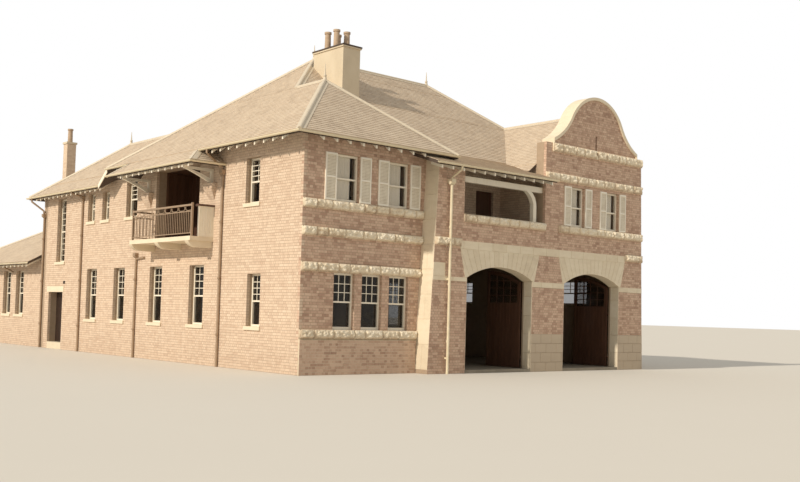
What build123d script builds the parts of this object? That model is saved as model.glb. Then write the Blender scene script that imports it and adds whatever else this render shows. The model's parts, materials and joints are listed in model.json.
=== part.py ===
from build123d import *
import math
import os

# Two-storey brick fire station on a street corner, in millimetres.
# X runs along the engine front, Y back along the side street, Z up.
# Sizes are measured from the street corner of the two walls at ground level, and the
# finished model is moved so that its origin is under the middle of the whole building.

# Levels
floor_top = 100
floor_depth = 100
upper_floor_top = 4200
upper_floor_depth = 200
eaves_z = 7050
wing_eaves_z = 6500
low_eaves_z = 3680

# Walls
wall = 400
bay_wall_depth = 450
bay_projection = 620
recess_wall = 300

# Plan: house, engine bay, rear wing and low wing
house_width = 4990
bay_back = 11200
right_x = 15500
wing_width = 5300
wing_end = 19400
low_end = 28650

# Roofs
main_pitch = 37.5
low_pitch = 29.0
loggia_pitch = 17.4
roof_depth = 110
overhang = 650
wing_overhang = 500
loggia_wall_y = 1550
loggia_eaves_y = -1150
loggia_eaves_z = 6700
loggia_left_x = house_width - 720
balcony_eaves_x = -1230
balcony_roof_start = 4430
balcony_roof_end = 10480
gable_x = 12780
gable_wing_half = 3190

# Engine arches
arch_width = 3200
arch_spring_z = 3120
arch_rise = 410
arch_xs = (7790, 12690)
stone_shoulder = 90
stone_flare = 330
stone_top_z = 4050
course_top_z = 4320

# Battered outer faces of the engine front
left_foot_x = house_width - 460
right_foot_x = 15830
left_batter = 0.046
right_batter = 0.034
pier_shoulder_x = house_width + 210

# Loggia over the left arch
loggia_left = house_width + 1010
gable_left_x = 9980
parapet_z = 4930
beam_bottom_z = 6280
beam_depth = 190
beam_width = 160

# Bell gable
gable_top_z = 9990
gable_crest_radius = 1563
gable_flank_angle = 62
gable_foot_angle = 25
gable_foot_radius = 2217
gable_shoulder_z = 8110
coping_depth = 110
coping_overhang = 60

# Stone bands
band_depth = 60
band_levels = ((1070, 1340), (3050, 3328), (4110, 4378), (4930, 5200))
plinth_depth = 60
plinth_top = 1070
gable_band_levels = ((6760, 7050), (7800, 8110))

# Windows
frame_setback = 110
side_setback = 190
frame_depth = 90
frame_bar = 60
meeting_bar = 50
glass_depth = 6
sill_drop = 60
sill_reach = 50
sill_height = 90
sill_lip = 25
sill_ear = 75
upper_sill_z = 5200
upper_head_z = 6640
front_lower = [(1220, 2020), (2300, 3100), (3390, 4190)]
front_lower_z = (1340, 3050)
front_upper = [(1220, 2080), (3270, 4130)]
gable_windows = [(11390, 12150), (13430, 14190)]
gable_slot = (12720, 12810, 7930, 8660)
side_lower = [(2100, 2860, 1330, 2990), (5530, 6500, 1300, 3320), (8440, 9380, 1300, 3320),
              (11380, 12310, 1300, 3320), (13820, 14750, 1300, 3320)]
side_upper = [(2330, 3120, 5180, 6640), (10560, 11480, 5200, 6640),
              (12930, 13580, 5200, 6340), (14230, 14900, 5200, 6340), (17050, 17930, 3640, 6340)]
low_windows = [(21470, 22430), (23060, 24020), (24650, 25610), (26240, 27200)]
low_window_z = (1360, 3360)
yard_low_windows = [(21470, 22430), (24650, 25610)]
rear_windows = [(6900, 7800), (9750, 10650), (12600, 13500)]
rear_lower_z = (1300, 3320)
right_upper = [(1900, 2760), (5000, 5860), (8200, 9060)]
right_lower = [(1550, 3150), (8000, 9600)]
right_lower_z = (2420, 3420)
wing_yard_windows = [(12900, 13800), (16000, 16900)]

# Window shutters
shutter_depth = 40
shutter_gap = 20

# Side door
door_start = 17100
door_end = 18570
door_sill_z = 280
door_head_z = 2400
door_depth = 45
lintel_reach = 30
lintel_height = 240
lintel_ear = 150

# Engine doors
leaf_depth = 60
leaf_glass_z = 2380
leaf_border = 130
hinge_offset = 30
jamb_gap = 5
meeting_gap = 12
leaf_clear = 10
floor_clear = 15

# Hook and band hinges
pin_radius = 10
pin_clear = 0.3
eye_radius = 22
band_inset = 6
band_height = 60
band_depth_flat = 8
band_reach = 620
hook_height = 24
hook_levels = (450, 2050)

# Balcony
balcony_start = 4990
balcony_end = 9300
balcony_reach = 870
slab_bottom = 4070
slab_top = 4210
corbel_height = 210
corbel_width = 240
corbel_ys = (5170, 7250, 9170)
rail_top = 5260
rail_section = 60
baluster_radius = 11
baluster_pitch = 118
ring_radius = 62
ring_tube = 9
end_panel_depth = 90
recess_start = 6000
recess_end = 9100
recess_depth = 1200
recess_head = 6750
balcony_door = (6250, 7150)
upper_door_head = 6400
loggia_door = (8700, 9600)
bracket_ys = (5120, 9560)
bracket_width = 90
head_width = 620
head_reach = 190
head_top = 6000
head_bottom = 5450

# Chimneys
stack_x = (4330, 5090)
stack_y = (3950, 5700)
stack_top = 11330
cap_height = 90
cap_overhang = 40
pot_radius = 115
pot_wall = 22
pot_height = 640
low_stack_x = (1800, 2220)
low_stack_y = (21600, 22020)
low_stack_top = 9480

# Rafters, rolls and finials
rafter_width = 60
rafter_height = 110
rafter_pitch = 470
rafter_setback = 20
roll_radius = 62
finial_height = 560
finial_radius = 48

# Downpipes
pipe_radius = 45
pipe_gap = 12
rain_head = 190
side_pipe_ys = (4446, 10380, 15300, 19250)
gutter_radius = 58
gutter_wall = 6
gutter_drop = 25
gutter_back = 12
bay_pipe_x = house_width + 310

# Derived sizes
slope = math.tan(math.radians(main_pitch))
low_slope = math.tan(math.radians(low_pitch))
loggia_slope = math.tan(math.radians(loggia_pitch))
house_eaves = (-overhang, house_width + overhang)
house_half = (house_eaves[1] - house_eaves[0]) / 2
house_ridge_x = house_eaves[0] + house_half
house_ridge_z = eaves_z + house_half * slope
main_front = loggia_wall_y - overhang
main_back = bay_back + overhang
main_half = (main_back - main_front) / 2
main_ridge_y = main_front + main_half
main_ridge_z = eaves_z + main_half * slope
ridge_left_x = -overhang + main_half
gable_eaves = (gable_x - gable_wing_half, gable_x + gable_wing_half)
gable_ridge_z = eaves_z + gable_wing_half * slope
ridge_right_x = gable_eaves[1] - main_half
wing_eaves = (-wing_overhang, wing_width + wing_overhang)
wing_half = (wing_eaves[1] - wing_eaves[0]) / 2
wing_ridge_x = wing_eaves[0] + wing_half
wing_ridge_z = wing_eaves_z + wing_half * slope
wing_roof_end = wing_end + wing_overhang
low_eaves = (-overhang, wing_width + overhang)
low_half = (low_eaves[1] - low_eaves[0]) / 2
low_ridge_z = low_eaves_z + low_half * low_slope
low_roof_end = low_end + overhang
bay_front = -bay_projection
bay_back_face = bay_front + bay_wall_depth
deep = -1000
sky = 1.15 * stack_top
arch_half = arch_width / 2
arch_radius = (arch_half ** 2 + arch_rise ** 2) / (2 * arch_rise)
arch_centre_z = arch_spring_z + arch_rise - arch_radius
verge_end = main_back + (eaves_z - wing_eaves_z) / slope


def block(x0, x1, y0, y1, z0, z1):
    """A box between two corners."""
    size = Box(x1 - x0, y1 - y0, z1 - z0, align=(Align.MIN, Align.MIN, Align.MIN))
    return Pos(x0, y0, z0) * size


def prism(points, direction):
    """A flat outline pushed along a vector."""
    outline = make_face(Polyline(*points, close=True))
    way = Vector(*direction)
    return extrude(outline, amount=way.length, dir=way.normalized())


def along_x(points, x0, x1):
    """An outline of (y, z) points pushed from x0 to x1."""
    return prism([(x0, y, z) for y, z in points], (x1 - x0, 0, 0))


def along_y(points, y0, y1):
    """An outline of (x, z) points pushed from y0 to y1."""
    return prism([(x, y0, z) for x, z in points], (0, y1 - y0, 0))


def joined(pieces):
    """All pieces fused into one shape."""
    total = pieces[0]
    for piece in pieces[1:]:
        total = total + piece
    return total


def ridged(low, high, low_z, ridge_z, rate, bottom):
    """Points of a roof section: both slopes rise at one rate to the ridge level."""
    run = (ridge_z - low_z) / rate
    return [(low, bottom), (high, bottom), (high, low_z), (high - run, ridge_z),
            (low + run, ridge_z), (low, low_z)]


def ridged_peak(low, high, low_z, rate, bottom):
    """Points of a roof section that comes to one peak in the middle."""
    middle = (low + high) / 2
    peak = low_z + (high - low) / 2 * rate
    return [(low, bottom), (high, bottom), (high, low_z), (middle, peak), (low, low_z)]


# Roof bodies, from their top surface down to a given level

def main_body(bottom):
    cross = along_x(ridged_peak(main_front, main_back, eaves_z, slope, bottom), -overhang, gable_eaves[1])
    return cross & along_y(ridged(-overhang, gable_eaves[1], eaves_z, main_ridge_z, slope, bottom),
                           main_front, main_back)


def house_body(bottom):
    section = ridged_peak(house_eaves[0], house_eaves[1], eaves_z, slope, bottom)
    length = along_y(section, -overhang, main_ridge_y)
    back_z = eaves_z + (main_ridge_y + overhang) * slope
    hip = [(-overhang, bottom), (main_ridge_y, bottom), (main_ridge_y, back_z), (-overhang, eaves_z)]
    return length & along_x(hip, house_eaves[0], house_eaves[1])


def gable_body(bottom):
    section = ridged_peak(gable_eaves[0], gable_eaves[1], eaves_z, slope, bottom)
    return along_y(section, bay_back_face, main_ridge_y)


def loggia_body(bottom):
    back_y = loggia_wall_y + wall
    back_z = loggia_eaves_z + (back_y - loggia_eaves_y) * loggia_slope
    section = [(loggia_eaves_y, bottom), (back_y, bottom), (back_y, back_z), (loggia_eaves_y, loggia_eaves_z)]
    return along_x(section, loggia_left_x, gable_left_x)


def balcony_body(bottom):
    edge_z = balcony_edge_z()
    top_z = edge_z - balcony_eaves_x * slope
    section = [(balcony_eaves_x, bottom), (0, bottom), (0, top_z), (balcony_eaves_x, edge_z)]
    ends = ridged_peak(balcony_roof_start, balcony_roof_end, edge_z, slope, bottom)
    return along_y(section, balcony_roof_start, balcony_roof_end) & along_x(ends, balcony_eaves_x, 0)


def verge_body(bottom):
    """The rear slope's foot beside the wing, kept under the left slope so that both meet in the hip."""
    low_z = eaves_z - (verge_end - main_back) * slope
    start = main_back - overhang
    start_z = eaves_z + overhang * slope
    right = wing_eaves[0] + overhang
    section = [(start, bottom), (verge_end, bottom), (verge_end, low_z), (start, start_z)]
    under = [(-overhang, bottom), (right, bottom), (right, eaves_z + (right + overhang) * slope), (-overhang, eaves_z)]
    return along_x(section, -overhang, right) & along_y(under, start, verge_end)


def wing_body(bottom):
    section = ridged_peak(wing_eaves[0], wing_eaves[1], wing_eaves_z, slope, bottom)
    front_z = wing_eaves_z + (wing_roof_end - main_ridge_y) * slope
    hip = [(main_ridge_y, bottom), (wing_roof_end, bottom), (wing_roof_end, wing_eaves_z), (main_ridge_y, front_z)]
    return along_y(section, main_ridge_y, wing_roof_end) & along_x(hip, wing_eaves[0], wing_eaves[1])


def low_body(bottom):
    section = ridged_peak(low_eaves[0], low_eaves[1], low_eaves_z, low_slope, bottom)
    front_z = low_eaves_z + (low_roof_end - wing_end) * low_slope
    hip = [(wing_end, bottom), (low_roof_end, bottom), (low_roof_end, low_eaves_z), (wing_end, front_z)]
    return along_y(section, wing_end, low_roof_end) & along_x(hip, low_eaves[0], low_eaves[1])


def balcony_edge_z():
    return eaves_z - (-overhang - balcony_eaves_x) * slope


def upper_bodies():
    """Every roof over the two storeys, each down to the underside of its own eaves."""
    levels = {main_body: eaves_z, house_body: eaves_z, gable_body: eaves_z, loggia_body: loggia_eaves_z,
              balcony_body: balcony_edge_z(), verge_body: wing_eaves_z, wing_body: wing_eaves_z}
    return [maker(levels[maker] - roof_depth) for maker in levels]


def lowered(shape):
    return Pos(0, 0, -roof_depth) * shape


def tall_bodies():
    return [main_body(deep), house_body(deep), gable_body(deep), verge_body(deep), wing_body(deep)]


def under_roof(shape):
    """The part of a wall that stays below the two-storey roofs."""
    return shape & lowered(joined(tall_bodies()))


def layer(maker, level):
    """One roof's own covering, of even depth."""
    return maker(level - roof_depth) - lowered(maker(deep))


def roofs():
    """Roof shells of even depth, shared out between the ranges they cover."""
    below = joined(tall_bodies() + [loggia_body(deep), balcony_body(deep)])
    stack = block(*stack_x, *stack_y, deep, sky)
    shell = joined(upper_bodies()) - lowered(below) - stack
    front = loggia_eaves_y - wall
    wing_zone = block(-2 * overhang, sky, main_back, low_roof_end, deep, sky) + wing_body(deep)
    wing_zone = wing_zone - main_body(deep) - verge_body(deep)
    bay_zone = block(house_eaves[1], 2 * sky, front, main_ridge_y, deep, sky) - main_body(deep)
    lean_to_zone = block(loggia_left_x, house_eaves[1], front, 0, deep, sky)
    lean_to_zone = lean_to_zone + block(house_width, house_eaves[1], 0, loggia_wall_y, deep, sky)
    bay_roof = (shell & bay_zone) + (layer(loggia_body, loggia_eaves_z) & lean_to_zone)
    wing_roof = shell & wing_zone
    main_roof = shell + layer(balcony_body, balcony_edge_z()) - wing_zone - bay_zone - bay_roof
    low = low_body(low_eaves_z - roof_depth)
    low_roof = low - lowered(low) - block(*low_stack_x, *low_stack_y, deep, sky)
    return main_roof, bay_roof, wing_roof, low_roof


# Windows

def opening_x(x0, x1, z0, z1, y0, y1):
    return block(x0, x1, y0, y1, z0, z1)


def opening_y(y0, y1, z0, z1, x0, x1):
    return block(x0, x1, y0, y1, z0, z1)


def frame_and_glass(u0, u1, z0, z1, setback):
    """A sash window in a wall whose outer face is at y = 0, with u across it."""
    back = setback + frame_depth
    rail_z = z0 + (z1 - z0) * 0.49
    frame = block(u0, u1, setback, back, z0, z1)
    lower = (u0 + frame_bar, u1 - frame_bar, z0 + frame_bar + sill_drop / 2, rail_z - meeting_bar / 2)
    upper = (u0 + frame_bar, u1 - frame_bar, rail_z + meeting_bar / 2, z1 - frame_bar)
    panes = []
    for pane, middle in ((lower, setback + frame_depth * 0.7), (upper, setback + frame_depth * 0.35)):
        frame = frame - block(pane[0], pane[1], setback - 1, back + 1, pane[2], pane[3])
        panes.append(block(pane[0], pane[1], middle - glass_depth / 2, middle + glass_depth / 2, pane[2], pane[3]))
    return frame, panes


def sill(u0, u1, z0, setback):
    """A stone sill: a ledge on the wall's face, and a lip that runs in to the frame."""
    ledge = block(u0 - sill_ear, u1 + sill_ear, -sill_reach, 0, z0 - sill_height, z0 + sill_lip)
    return ledge + block(u0, u1, 0, setback, z0, z0 + sill_lip)


def facing(shape, side, face):
    """Turns a window from its own axes onto a wall face that looks front, back, left or right."""
    if side == "front":
        return Pos(0, face, 0) * shape
    if side == "back":
        return Pos(0, face, 0) * mirror(shape, Plane.XZ)
    turned = mirror(Rot(0, 0, -90) * shape, Plane.XZ)
    if side == "left":
        return Pos(face, 0, 0) * turned
    return Pos(face, 0, 0) * mirror(turned, Plane.YZ)


def windows(holes, side, face, setback=frame_setback):
    """Frames and panes for a list of openings in one wall face."""
    frames = []
    panes = []
    for u0, u1, z0, z1 in holes:
        frame, glass = frame_and_glass(u0, u1, z0, z1, setback)
        frames.append(facing(frame, side, face))
        panes += [facing(pane, side, face) for pane in glass]
    return frames, panes


def sills(holes, side, face, setback=frame_setback):
    return [facing(sill(u0, u1, z0, setback), side, face) for u0, u1, z0, z1 in holes]


def with_levels(spans, levels):
    return [(a, b, levels[0], levels[1]) for a, b in spans]


front_holes = with_levels(front_lower, front_lower_z) + with_levels(front_upper, (upper_sill_z, upper_head_z))
gable_holes = with_levels(gable_windows, (upper_sill_z, upper_head_z))
side_holes = side_lower + side_upper
low_holes = with_levels(low_windows, low_window_z)
low_yard_holes = with_levels(yard_low_windows, low_window_z)
rear_holes = with_levels(rear_windows, rear_lower_z) + with_levels(rear_windows, (upper_sill_z, upper_head_z))
right_holes = with_levels(right_lower, right_lower_z) + with_levels(right_upper, (upper_sill_z, upper_head_z))
wing_yard_holes = with_levels(wing_yard_windows, rear_lower_z) + \
    with_levels(wing_yard_windows, (upper_sill_z, upper_sill_z + 1140))


# Walls

def cut_x(shape, holes, y0, y1):
    for a, b, z0, z1 in holes:
        shape = shape - opening_x(a, b, z0, z1, y0 - 1, y1 + 1)
    return shape


def cut_y(shape, holes, x0, x1):
    for a, b, z0, z1 in holes:
        shape = shape - opening_y(a, b, z0, z1, x0 - 1, x1 + 1)
    return shape


def house_walls():
    front = under_roof(block(0, house_width, 0, wall, 0, sky))
    front = cut_x(front, front_holes, 0, wall)
    side = under_roof(block(0, wall, wall, door_start, 0, sky))
    side = cut_y(side, side_lower + side_upper[:4], 0, wall)
    side = cut_y(side, [side_upper[4]], 0, wall)
    side = side - block(-1, wall + 1, recess_start, recess_end, upper_floor_top, recess_head)
    over = under_roof(block(0, wall, door_start, door_end, door_head_z, sky))
    over = cut_y(over, [side_upper[4]], 0, wall)
    end = under_roof(block(0, wall, door_end, wing_end - wall, 0, sky))
    return front, side, over, end


def yard_walls():
    right = under_roof(block(right_x - wall, right_x, bay_back_face, bay_back, 0, sky))
    right = cut_y(right, right_holes, right_x - wall, right_x)
    rear = under_roof(block(wing_width - wall, right_x - wall, bay_back - wall, bay_back, 0, sky))
    rear = cut_x(rear, rear_holes, bay_back - wall, bay_back)
    inner = block(wing_width - wall, wing_width, bay_back, wing_end, 0, sky)
    end = block(0, wing_width - wall, wing_end - wall, wing_end, 0, sky)
    wing = under_roof(inner + end)
    wing = cut_y(wing, wing_yard_holes, wing_width - wall, wing_width)
    return right, rear, wing


def low_walls():
    street = block(0, wall, wing_end, low_end, 0, sky)
    yard = block(wing_width - wall, wing_width, wing_end, low_end, 0, sky)
    end = block(wall, wing_width - wall, low_end - wall, low_end, 0, sky)
    walls = (street + yard + end) & lowered(low_body(deep))
    walls = cut_y(walls, low_holes, 0, wall)
    return cut_y(walls, low_yard_holes, wing_width - wall, wing_width)


def arch_cut(centre):
    """The space under an engine arch."""
    left = centre - arch_half
    right = centre + arch_half
    outline = Line((left, bay_front - 1, deep), (right, bay_front - 1, deep)) + \
        Line((right, bay_front - 1, deep), (right, bay_front - 1, arch_spring_z)) + \
        ThreePointArc((right, bay_front - 1, arch_spring_z), (centre, bay_front - 1, arch_spring_z + arch_rise),
                      (left, bay_front - 1, arch_spring_z)) + \
        Line((left, bay_front - 1, arch_spring_z), (left, bay_front - 1, deep))
    return extrude(make_face(outline), amount=bay_wall_depth + 2, dir=(0, 1, 0))


def arch_stone(centre):
    """The dressed stones over one engine arch, wider at the top."""
    foot = arch_half + stone_shoulder
    head = arch_half + stone_flare
    outline = [(centre - foot, arch_spring_z), (centre + foot, arch_spring_z),
               (centre + head, stone_top_z), (centre - head, stone_top_z)]
    return along_y(outline, bay_front, bay_back_face) - arch_cut(centre)


def left_face(z):
    return left_foot_x + left_batter * z


def right_face(z):
    return right_foot_x - right_batter * z


def under_lean_to(shape):
    return shape & lowered(loggia_body(deep))


def piers():
    jambs = [(x - arch_half, x + arch_half) for x in arch_xs]
    outline = [(left_face(0), 0), (jambs[0][0], 0), (jambs[0][0], arch_spring_z), (pier_shoulder_x, arch_spring_z),
               (pier_shoulder_x, eaves_z), (left_face(eaves_z), eaves_z)]
    left = along_y(outline, bay_front, 0) - block(house_width, sky, bay_back_face, sky, deep, sky)
    middle = block(jambs[0][1], jambs[1][0], bay_front, bay_back_face, 0, arch_spring_z)
    right = along_y([(jambs[1][1], 0), (right_face(0), 0), (right_face(arch_spring_z), arch_spring_z),
                     (jambs[1][1], arch_spring_z)], bay_front, bay_back_face)
    return [under_lean_to(left), middle, right]


def bay_brickwork(stones, course):
    """Brick between and over the arch stones, up to the loggia's coping and the gable's foot."""
    wall_face = along_y([(pier_shoulder_x, arch_spring_z), (right_face(arch_spring_z), arch_spring_z),
                         (right_face(parapet_z), parapet_z), (loggia_left, parapet_z),
                         (loggia_left, eaves_z), (pier_shoulder_x, eaves_z)],
                        bay_front, bay_back_face)
    over_loggia = block(pier_shoulder_x, loggia_left, bay_front, bay_back_face, parapet_z, sky)
    wall_face = wall_face - (over_loggia - under_lean_to(over_loggia))
    for centre in arch_xs:
        wall_face = wall_face - arch_cut(centre)
    for stone in stones:
        wall_face = wall_face - stone
    return wall_face - course


def top_course():
    """The dressed course that runs over both arches."""
    head = arch_half + stone_flare
    return block(arch_xs[0] - head, arch_xs[1] + head, bay_front, bay_back_face, stone_top_z, course_top_z)


def gable_curve(grow, y):
    """Arcs of the bell from the left shoulder over the crest to the right, moved outwards by grow."""
    flank = math.radians(gable_flank_angle)
    foot = math.radians(gable_foot_angle)
    crest_z = gable_top_z - gable_crest_radius
    join_x = gable_crest_radius * math.sin(flank)
    join_z = crest_z + gable_crest_radius * math.cos(flank)
    centre_x = join_x + gable_foot_radius * math.sin(flank)
    centre_z = join_z + gable_foot_radius * math.cos(flank)
    outer = gable_crest_radius + grow
    inner = gable_foot_radius - grow

    def crest(angle, side):
        return (gable_x + side * outer * math.sin(angle), y, crest_z + outer * math.cos(angle))

    def foot_arc(angle, side):
        return (gable_x + side * (centre_x - inner * math.sin(angle)), y, centre_z - inner * math.cos(angle))

    half = (flank + foot) / 2
    return [ThreePointArc(foot_arc(foot, -1), foot_arc(half, -1), crest(flank, -1)),
            ThreePointArc(crest(flank, -1), crest(0, -1), crest(flank, 1)),
            ThreePointArc(crest(flank, 1), foot_arc(half, 1), foot_arc(foot, 1))]


def gable_panel(grow, y, depth, bottom):
    """The bell outline closed at a level below it and pushed back."""
    arcs = gable_curve(grow, y)
    start = arcs[0] @ 0
    end = arcs[-1] @ 1
    base = [Line(end, (end.X, y, bottom)), Line((end.X, y, bottom), (start.X, y, bottom)),
            Line((start.X, y, bottom), start)]
    return extrude(make_face(joined(arcs + base)), amount=depth, dir=(0, 1, 0))


def gable_wall_piece():
    lower = along_y([(gable_left_x, parapet_z), (right_face(parapet_z), parapet_z),
                     (right_face(gable_shoulder_z), gable_shoulder_z), (gable_left_x, gable_shoulder_z)],
                    bay_front, bay_back_face)
    bell = gable_panel(0, bay_front, bay_wall_depth, gable_shoulder_z - wall)
    return cut_x(lower + bell, gable_holes + [gable_slot], bay_front, bay_back_face)


def gable_coping_piece():
    start = bay_front - coping_overhang
    depth = bay_wall_depth + 2 * coping_overhang
    outer = gable_panel(coping_depth, start, depth, gable_shoulder_z)
    inner = gable_panel(0, start - 1, depth + 2, deep)
    return outer - inner


def loggia_wall_piece():
    top = sky
    left = block(house_width - wall, house_width, wall, loggia_wall_y + wall, upper_floor_top, top)
    back = block(house_width, gable_left_x, loggia_wall_y, loggia_wall_y + wall, upper_floor_top, top)
    right = block(gable_left_x, gable_left_x + wall, bay_back_face, loggia_wall_y + wall, upper_floor_top, top)
    tall = [main_body(deep), house_body(deep), gable_body(deep), loggia_body(deep)]
    walls = (left + back + right) & lowered(joined(tall))
    return cut_x(walls, [(*loggia_door, upper_floor_top, upper_door_head)], loggia_wall_y, loggia_wall_y + wall)


def recess_wall_piece():
    """The three walls and the ceiling round the balcony's recess."""
    back_x = wall + recess_depth
    outside = block(wall, back_x + recess_wall, recess_start - recess_wall, recess_end + recess_wall,
                    upper_floor_top, recess_head + recess_wall / 2)
    inside = block(wall - 1, back_x, recess_start, recess_end, upper_floor_top - 1, recess_head)
    shell = outside - inside
    return cut_y(shell, [(*balcony_door, upper_floor_top, upper_door_head)], back_x, back_x + recess_wall)


def upper_doors():
    """The two upper doors, each a boarded leaf in its frame."""
    y = loggia_wall_y + frame_setback
    loggia = block(*loggia_door, y, y + leaf_depth, upper_floor_top, upper_door_head)
    x = wall + recess_depth + frame_setback
    balcony = block(x, x + leaf_depth, *balcony_door, upper_floor_top, upper_door_head)
    return [loggia, balcony]


# Stone bands and plinth

def band_x(x0, x1, y_face, levels):
    return block(x0, x1, y_face - band_depth, y_face, levels[0], levels[1])


def front_bands():
    bands = [band_x(0, left_face(low), 0, (low, high)) for low, high in band_levels]
    return [bands[0] + front_plinth()] + bands[1:]


def front_plinth():
    slope_run = plinth_depth * 0.6
    outline = [(0, 0), (-plinth_depth, 0), (-plinth_depth, plinth_top - slope_run), (0, plinth_top)]
    return along_x(outline, 0, left_face(0) - 1)


def bay_bands():
    pier_band = band_x(left_face(band_levels[2][1]), arch_xs[0] - arch_half - stone_flare, bay_front, band_levels[2])
    right_start = arch_xs[1] + arch_half + stone_flare
    right_band = band_x(right_start, right_face(band_levels[2][1]), bay_front, band_levels[2])
    sill_start = gable_windows[0][0] - 680
    sill = band_x(sill_start, right_face(band_levels[3][1]), bay_front, band_levels[3])
    lintel = band_x(gable_left_x, right_face(gable_band_levels[0][1]), bay_front, gable_band_levels[0])
    shoulder = band_x(gable_left_x + 330, right_face(gable_band_levels[1][1]), bay_front, gable_band_levels[1])
    shoulder = cut_x(shoulder, [gable_slot], bay_front - band_depth, bay_front)
    return [pier_band, right_band, sill, lintel, shoulder]


def loggia_coping():
    return block(loggia_left, gable_left_x, bay_front - band_depth, bay_back_face + band_depth, parapet_z, upper_sill_z)


# Loggia timber

def loggia_timber():
    middle = (bay_front + bay_back_face) / 2
    y0 = middle - beam_width / 2
    y1 = middle + beam_width / 2
    beam = block(loggia_left, gable_left_x, y0, y1, beam_bottom_z, beam_bottom_z + beam_depth)
    foot_x = gable_left_x - 300
    post_width = 160
    lean = 390
    bow = 60
    left = ThreePointArc((foot_x - post_width, y0, upper_sill_z + 650),
                         (foot_x - post_width - lean * 0.28 - bow / 3, y0, beam_bottom_z - 190),
                         (foot_x - lean - 150, y0, beam_bottom_z))
    right = ThreePointArc((foot_x - lean + 110, y0, beam_bottom_z),
                          (foot_x - bow, y0, beam_bottom_z - 260), (foot_x, y0, upper_sill_z + 560))
    edges = [left, Line(left @ 1, right @ 0), right, Line(right @ 1, (foot_x, y0, upper_sill_z)),
             Line((foot_x, y0, upper_sill_z), (foot_x - post_width, y0, upper_sill_z)),
             Line((foot_x - post_width, y0, upper_sill_z), left @ 0)]
    post = extrude(make_face(joined(edges)), amount=beam_width, dir=(0, 1, 0))
    return beam + post


# Balcony

def corbel(y):
    """A stone corbel with a quarter-round nose."""
    reach = balcony_reach + 40
    low = slab_bottom - corbel_height
    edge = [Line((0, y, slab_bottom), (-reach, y, slab_bottom)),
            ThreePointArc((-reach, y, slab_bottom), (-reach + 150, y, low + 55), (-reach + 420, y, low)),
            Line((-reach + 420, y, low), (0, y, low)), Line((0, y, low), (0, y, slab_bottom))]
    piece = extrude(make_face(joined(edge)), amount=corbel_width, dir=(0, 1, 0))
    return Pos(0, -corbel_width / 2, 0) * piece


def balcony_slab_piece():
    slab = block(-balcony_reach, 0, balcony_start, balcony_end, slab_bottom, slab_top)
    return joined([slab] + [corbel(y) for y in corbel_ys])


def front_rail_line():
    return -balcony_reach + 90


def balcony_railing():
    """Rails, posts, balusters and the ring frieze of the balcony's front and far end."""
    x = front_rail_line()
    half = rail_section / 2
    y0 = balcony_start + 60
    y1 = balcony_end - 60
    foot = slab_top + 90
    frieze = rail_top - rail_section - 2 * ring_radius - 2 * ring_tube - 20
    bars = [block(x - half, x + half, y0, y1, rail_top - rail_section, rail_top),
            block(x - half / 2, x + half / 2, y0, y1, foot, foot + 30),
            block(x - half / 2, x + half / 2, y0, y1, frieze - 30, frieze),
            block(x, 0, y1 - half, y1 + half, rail_top - rail_section, rail_top),
            block(x, 0, y1 - half / 2, y1 + half / 2, foot, foot + 30),
            block(x, 0, y1 - half / 2, y1 + half / 2, frieze - 30, frieze)]
    posts = [block(x - half, x + half, y - half, y + half, slab_top, rail_top + 40) for y in (y0, y1)]
    count = int((y1 - y0) / baluster_pitch)
    step = (y1 - y0) / count
    sticks = []
    for i in range(1, count):
        sticks.append(Pos(x, y0 + i * step, (foot + frieze) / 2) *
                      Cylinder(baluster_radius, frieze - foot, rotation=(0, 0, 0)))
    side_count = int(-x / baluster_pitch)
    for i in range(1, side_count):
        sticks.append(Pos(x - i * x / side_count, y1, (foot + frieze) / 2) *
                      Cylinder(baluster_radius, frieze - foot))
    return joined(bars + posts + sticks)


def balcony_panel():
    """The boarded end of the balcony beside the house window."""
    x0 = front_rail_line() + 230
    body = block(x0, 0, balcony_start + 15, balcony_start + 15 + end_panel_depth, slab_top, rail_top - 60)
    cap = block(x0 - 40, 0, balcony_start - 25, balcony_start + 55 + end_panel_depth, rail_top - 60, rail_top)
    return body + cap


def bracket(y):
    """A wall post and a curved brace that carry the balcony roof's edge."""
    edge_z = balcony_edge_z() - roof_depth
    tie_x = balcony_eaves_x + 140
    tie_z = edge_z - 10
    post = block(-bracket_width, 0, y, y + bracket_width, head_top, tie_z)
    tie = block(tie_x, 0, y, y + bracket_width, tie_z - bracket_width, tie_z)
    start = (-bracket_width, y, head_top)
    mid = (tie_x * 0.42, y, head_top + (tie_z - head_top) * 0.36)
    end = (tie_x + 60, y, tie_z - bracket_width)
    inner_start = (-bracket_width, y, head_top + 150)
    inner_mid = (tie_x * 0.42 + 25, y, head_top + (tie_z - head_top) * 0.36 + 105)
    inner_end = (tie_x + 210, y, tie_z - bracket_width)
    edges = [ThreePointArc(start, mid, end), Line(end, inner_end),
             ThreePointArc(inner_end, inner_mid, inner_start), Line(inner_start, start)]
    brace = extrude(make_face(joined(edges)), amount=bracket_width, dir=(0, 1, 0))
    return post + tie + brace


def wall_plate():
    """The beam along the outer ends of the brackets."""
    edge_z = balcony_edge_z() - roof_depth
    x0 = balcony_eaves_x + 140
    return block(x0, x0 + 110, bracket_ys[0] - 380, bracket_ys[1] + 470, edge_z - 10, edge_z + 60)


def bracket_head(y):
    """A brick corbel head that widens upwards under a bracket."""
    middle = y + bracket_width / 2
    half = head_width / 2
    steps = [(middle - half, head_top), (middle + half, head_top),
             (middle + half * 0.72, head_top - 280), (middle + half * 0.5, head_bottom),
             (middle - half * 0.5, head_bottom), (middle - half * 0.72, head_top - 280)]
    block_all = along_x(steps, -head_reach, 0)
    slant = along_y([(-head_reach, head_bottom - 1), (-head_reach, head_top - 180), (0, head_bottom - 1)],
                    middle - half - 1, middle + half + 1)
    return block_all - slant


# Chimneys

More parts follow.
